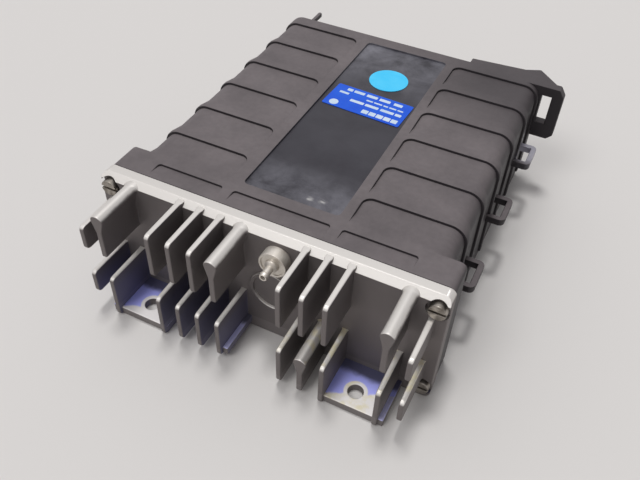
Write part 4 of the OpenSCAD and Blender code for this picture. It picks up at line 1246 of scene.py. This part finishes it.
@dataclass
class PressurePort:
    """The turned port that stands between the fins."""

    x_mm: float = 7.0
    z_mm: float = 48.3
    flange_mm: Triple = (5.85, 8.0, 5.0)
    edge_mm: float = 0.08
    sharp: float = 25.0
    front_steps_mm: Sequence[Pair] = (
        (5.0, 0.0), (4.8, 0.5), (2.9, 0.5), (2.7, -0.8), (1.6, -1.5), (1.6, -5.0), (1.9, -5.4), (1.9, -5.9),
        (1.5, -7.0), (1.0, -7.0), (1.0, 3.0))
    rear_steps_mm: Sequence[Pair] = (
        (4.0, 0.0), (4.0, 11.5), (1.9, 11.5), (1.9, 18.0), (1.5, 18.5), (1.0, 18.5), (1.0, 8.0))

    def build(self) -> None:
        """Turns the port: a flange with a barbed nipple before it, and a shank with a second one behind."""
        radius, face, thick = self.flange_mm
        port = rod("hose_port", Axis.Y, radius, (self.x_mm, face, self.z_mm), thick, ROUND)
        self.turn(port, -1, radius, face, self.front_steps_mm)
        self.turn(port, 1, radius, face + thick, self.rear_steps_mm)
        dress(port, PORT_METAL)
        soften(port, self.edge_mm, angle=self.sharp)
        seat(port, "port_metal", "pressure_port")

    def turn(self, port: Piece, way: int, radius_mm: float, start_mm: float,
             steps_mm: Sequence[Pair]) -> None:
        """Draws one end of the port out step by step.

        Args:
            port: The port.
            way: -1 for the end in front, 1 for the end behind.
            radius_mm: The radius of the end that is drawn out.
            start_mm: Where that end is.
            steps_mm: Each step's radius and its distance from the start.
        """
        reached = 0.0
        with editing(port, lambda face: way * face.normal.y > FACING):
            for radius, along in steps_mm:
                draw_out(0, along - reached, 0)
                share = radius / radius_mm
                bpy.ops.transform.resize(value=(share, 1, share),
                                         center_override=metres((self.x_mm, start_mm + along, self.z_mm)))
                radius_mm, reached = radius, along


@dataclass
class Labels:
    """The blue label with its plain printed dashes, and the round sticker."""

    edge_mm: float = 0.08
    ink_mm: float = 0.03
    ink_corner_mm: float = 0.3
    top_mm: float = 57.9
    middle_mm: Pair = (1.1, 111.25)
    turn: float = -3.0
    disc_mm: Triple = (-14.6, -6.2, 2.2)
    disc_ring_share: float = 0.3
    disc_sunk_share: float = 0.8
    lines_mm: Sequence[tuple[float, float, Sequence[Pair]]] = (
        (6.5, 1.0, ((-13.7, -10.9), (-10.1, -4.7), (-3.5, 2.0), (3.1, 8.6), (10.5, 14.8))),
        (3.1, 0.8, ((-16.2, -11.4),)),
        (2.7, 0.5, ((-2.0, 1.4), (2.0, 6.2), (6.8, 9.2), (9.8, 13.4), (14.0, 16.8))),
        (-1.0, 0.95, ((-8.6, -1.6), (-0.8, 5.9), (7.0, 13.7), (14.4, 17.4))),
        (-6.3, 1.4, ((0.0, 3.2), (3.7, 6.9), (7.4, 10.6), (11.1, 14.3), (14.8, 17.8))),
    )

    def build(self) -> None:
        """Makes the label, its dashes and the sticker."""
        dress_copy("blue_label", "label_film_blue", "label_film", self.edge_mm, BLUE_FILM)
        ink = self.print_dashes()
        dress(ink, WHITE_INK)
        seat(ink, "label_film")
        dress_copy("round_sticker", "sticker_film_cyan", "sticker_film", self.edge_mm, CYAN_FILM)

    def print_dashes(self) -> Piece:
        """Models the white dashes in lines and the white disc beside them.

        Returns:
            All of them as one piece, turned as the label is.
        """
        x, y = self.middle_mm
        low, high = self.top_mm, self.top_mm + self.ink_mm
        u, v, radius = self.disc_mm
        disc = rod("label_disc", Axis.Z, radius, (x + u, y + v, low), self.ink_mm)
        with editing(disc, lambda face: face.normal.z > FACING):
            bpy.ops.mesh.inset(thickness=self.disc_ring_share * radius * MM)
            draw_out(0, 0, -self.disc_sunk_share * self.ink_mm)
        marks = [disc]
        for level, half, dashes in self.lines_mm:
            for start, end in dashes:
                dash = box("label_dash", (x + start, y + level - half, low),
                           (x + end, y + level + half, high))
                with editing_edges(dash, lambda a, b: abs(a.z - b.z) > self.ink_mm / 2):
                    round_off(self.ink_corner_mm, 3)
                marks.append(dash)
        ink = joined("label_dashes_white", marks)
        with editing(ink):
            bpy.ops.transform.rotate(value=-math.radians(self.turn), orient_axis="Z",
                                     center_override=metres((x, y, low)))
        return ink


@dataclass
class Rear:
    """The plug socket in the rear wall."""

    edge_mm: float = 0.3

    def build(self) -> None:
        """Makes the socket. Its blades keep their own meshes."""
        dress_copy("plug_socket", "plug_shroud", "socket_plastic", self.edge_mm, SOCKET)


@dataclass
class Inside:
    """The solids inside the case and the socket, which keep their own meshes."""

    def build(self) -> None:
        """Gives each solid its finish."""
        for finish, nodes in INNER_FINISHES.items():
            for node in nodes:
                dress(frame["nodes"][node], finish)
                LOG.info("%s: %s", node, finish.name)


@dataclass
class Studio:
    """A pale floor, soft light from above and the camera."""

    floor: str = "#d9d6d3"
    floor_half_m: float = 12.0
    sky: str = "#fdfcff"
    sky_seen: float = 0.68
    sky_levels: Pair = (0.12, 0.68)
    sky_right: float = 0.3
    sky_reach: float = 0.8
    eye_mm: Triple = (97.6, -150.6, 242.5)
    yaw: float = 24.17
    pitch: float = 44.6
    roll: float = 2.7
    lens_mm: float = 39.69
    near_m: float = 0.01

    def build(self) -> None:
        """Makes the floor, the lamps, the world and the camera."""
        self.lay_floor()
        self.light()
        self.aim()

    def lay_floor(self) -> None:
        """Lays the floor that the unit stands on."""
        bpy.ops.object.select_all(action="DESELECT")
        bpy.ops.mesh.primitive_plane_add(size=2 * self.floor_half_m)
        floor = bpy.context.active_object
        floor.name = "floor"
        paper = bpy.data.materials.new("paper_pale")
        paper.use_nodes = True
        tree = paper.node_tree
        wire(tree, tree.nodes["Principled BSDF"], {"Base Color": linear(self.floor), "Roughness": 0.9}, {})
        floor.data.materials.append(paper)

    def light(self) -> None:
        """Sets a soft dome, a wide lamp high above and a weaker one in front on the left."""
        world = bpy.data.worlds.new("dome")
        bpy.context.scene.world = world
        world.use_nodes = True
        tree = world.node_tree
        way = add_node(tree, "TexCoord").outputs["Generated"]
        parts = add_node(tree, "SeparateXYZ", links=way).outputs
        height = add_node(tree, "Math", {"operation": "ABSOLUTE"}, parts["Z"])
        dark, pale = self.sky_levels
        level = add_node(tree, "MapRange", {1: 0.0, 2: self.sky_reach, 3: dark, 4: pale}, height)
        right = add_node(tree, "MapRange", {1: 0.0, 2: self.sky_reach, 3: 1.0, 4: self.sky_right}, parts["X"])
        level = add_node(tree, "Math", TIMES, {0: level, 1: right})
        # What is seen, mirrored or seen through is the plain backdrop: the dome's shading only gives light.
        rays = add_node(tree, "LightPath").outputs
        seen = rays["Is Camera Ray"]
        for kind in ("Is Glossy Ray", "Is Transmission Ray"):
            seen = add_node(tree, "Math", {"operation": "MAXIMUM"}, {0: seen, 1: rays[kind]})
        strength = add_node(tree, "Mix", {"data_type": "FLOAT", 3: self.sky_seen}, {0: seen, 2: level})
        wire(tree, tree.nodes["Background"], {"Color": linear(self.sky)}, {"Strength": strength})
        self.lamp("overhead", place=(-0.1, 0.14, 1.0), angle=9.0, strength=1.1)
        self.lamp("front_left", place=(-0.3, -0.62, 0.95), angle=24.0, strength=0.7)

    def lamp(self, name: str, place: Triple, angle: float, strength: float) -> None:
        """Hangs a wide, far lamp that faces the unit.

        Args:
            name: The lamp's name.
            place: The direction that its light comes from.
            angle: How wide it looks from the unit, in degrees.
            strength: The light that it gives a surface that faces it.
        """
        bpy.ops.object.light_add(type="SUN", location=place)
        lamp = bpy.context.active_object
        lamp.name = name
        lamp.data.angle = math.radians(angle)
        lamp.data.energy = strength
        lamp.rotation_euler = Vector(place).to_track_quat("Z", "Y").to_euler()

    def aim(self) -> None:
        """Sets the camera where the photograph was taken from."""
        yaw, pitch, roll = (math.radians(v) for v in (self.yaw, self.pitch, self.roll))
        back = Vector((math.sin(yaw) * math.cos(pitch), -math.cos(yaw) * math.cos(pitch), math.sin(pitch)))
        level = Vector((0, 0, 1)).cross(back).normalized()
        rise = back.cross(level)
        right = math.cos(roll) * level + math.sin(roll) * rise
        up = math.cos(roll) * rise - math.sin(roll) * level
        bpy.ops.object.camera_add()
        camera = bpy.context.active_object
        camera.data.lens = self.lens_mm
        camera.data.clip_start = self.near_m
        turned = Matrix((right, up, back)).transposed().to_4x4()
        camera.matrix_world = Matrix.Translation(Vector(self.eye_mm) * MM) @ turned
        bpy.context.scene.camera = camera


def main() -> None:
    """Builds the unit's sub-assemblies and lights them."""
    logging.basicConfig(level=logging.INFO, format="%(name)s %(message)s")
    bpy.context.scene.view_settings.view_transform = "Standard"
    for part in (Housing(), EndPlate(), PressurePort(), Labels(), Rear(), Inside(), Studio()):
        part.build()


if __name__ == "__main__":
    main()
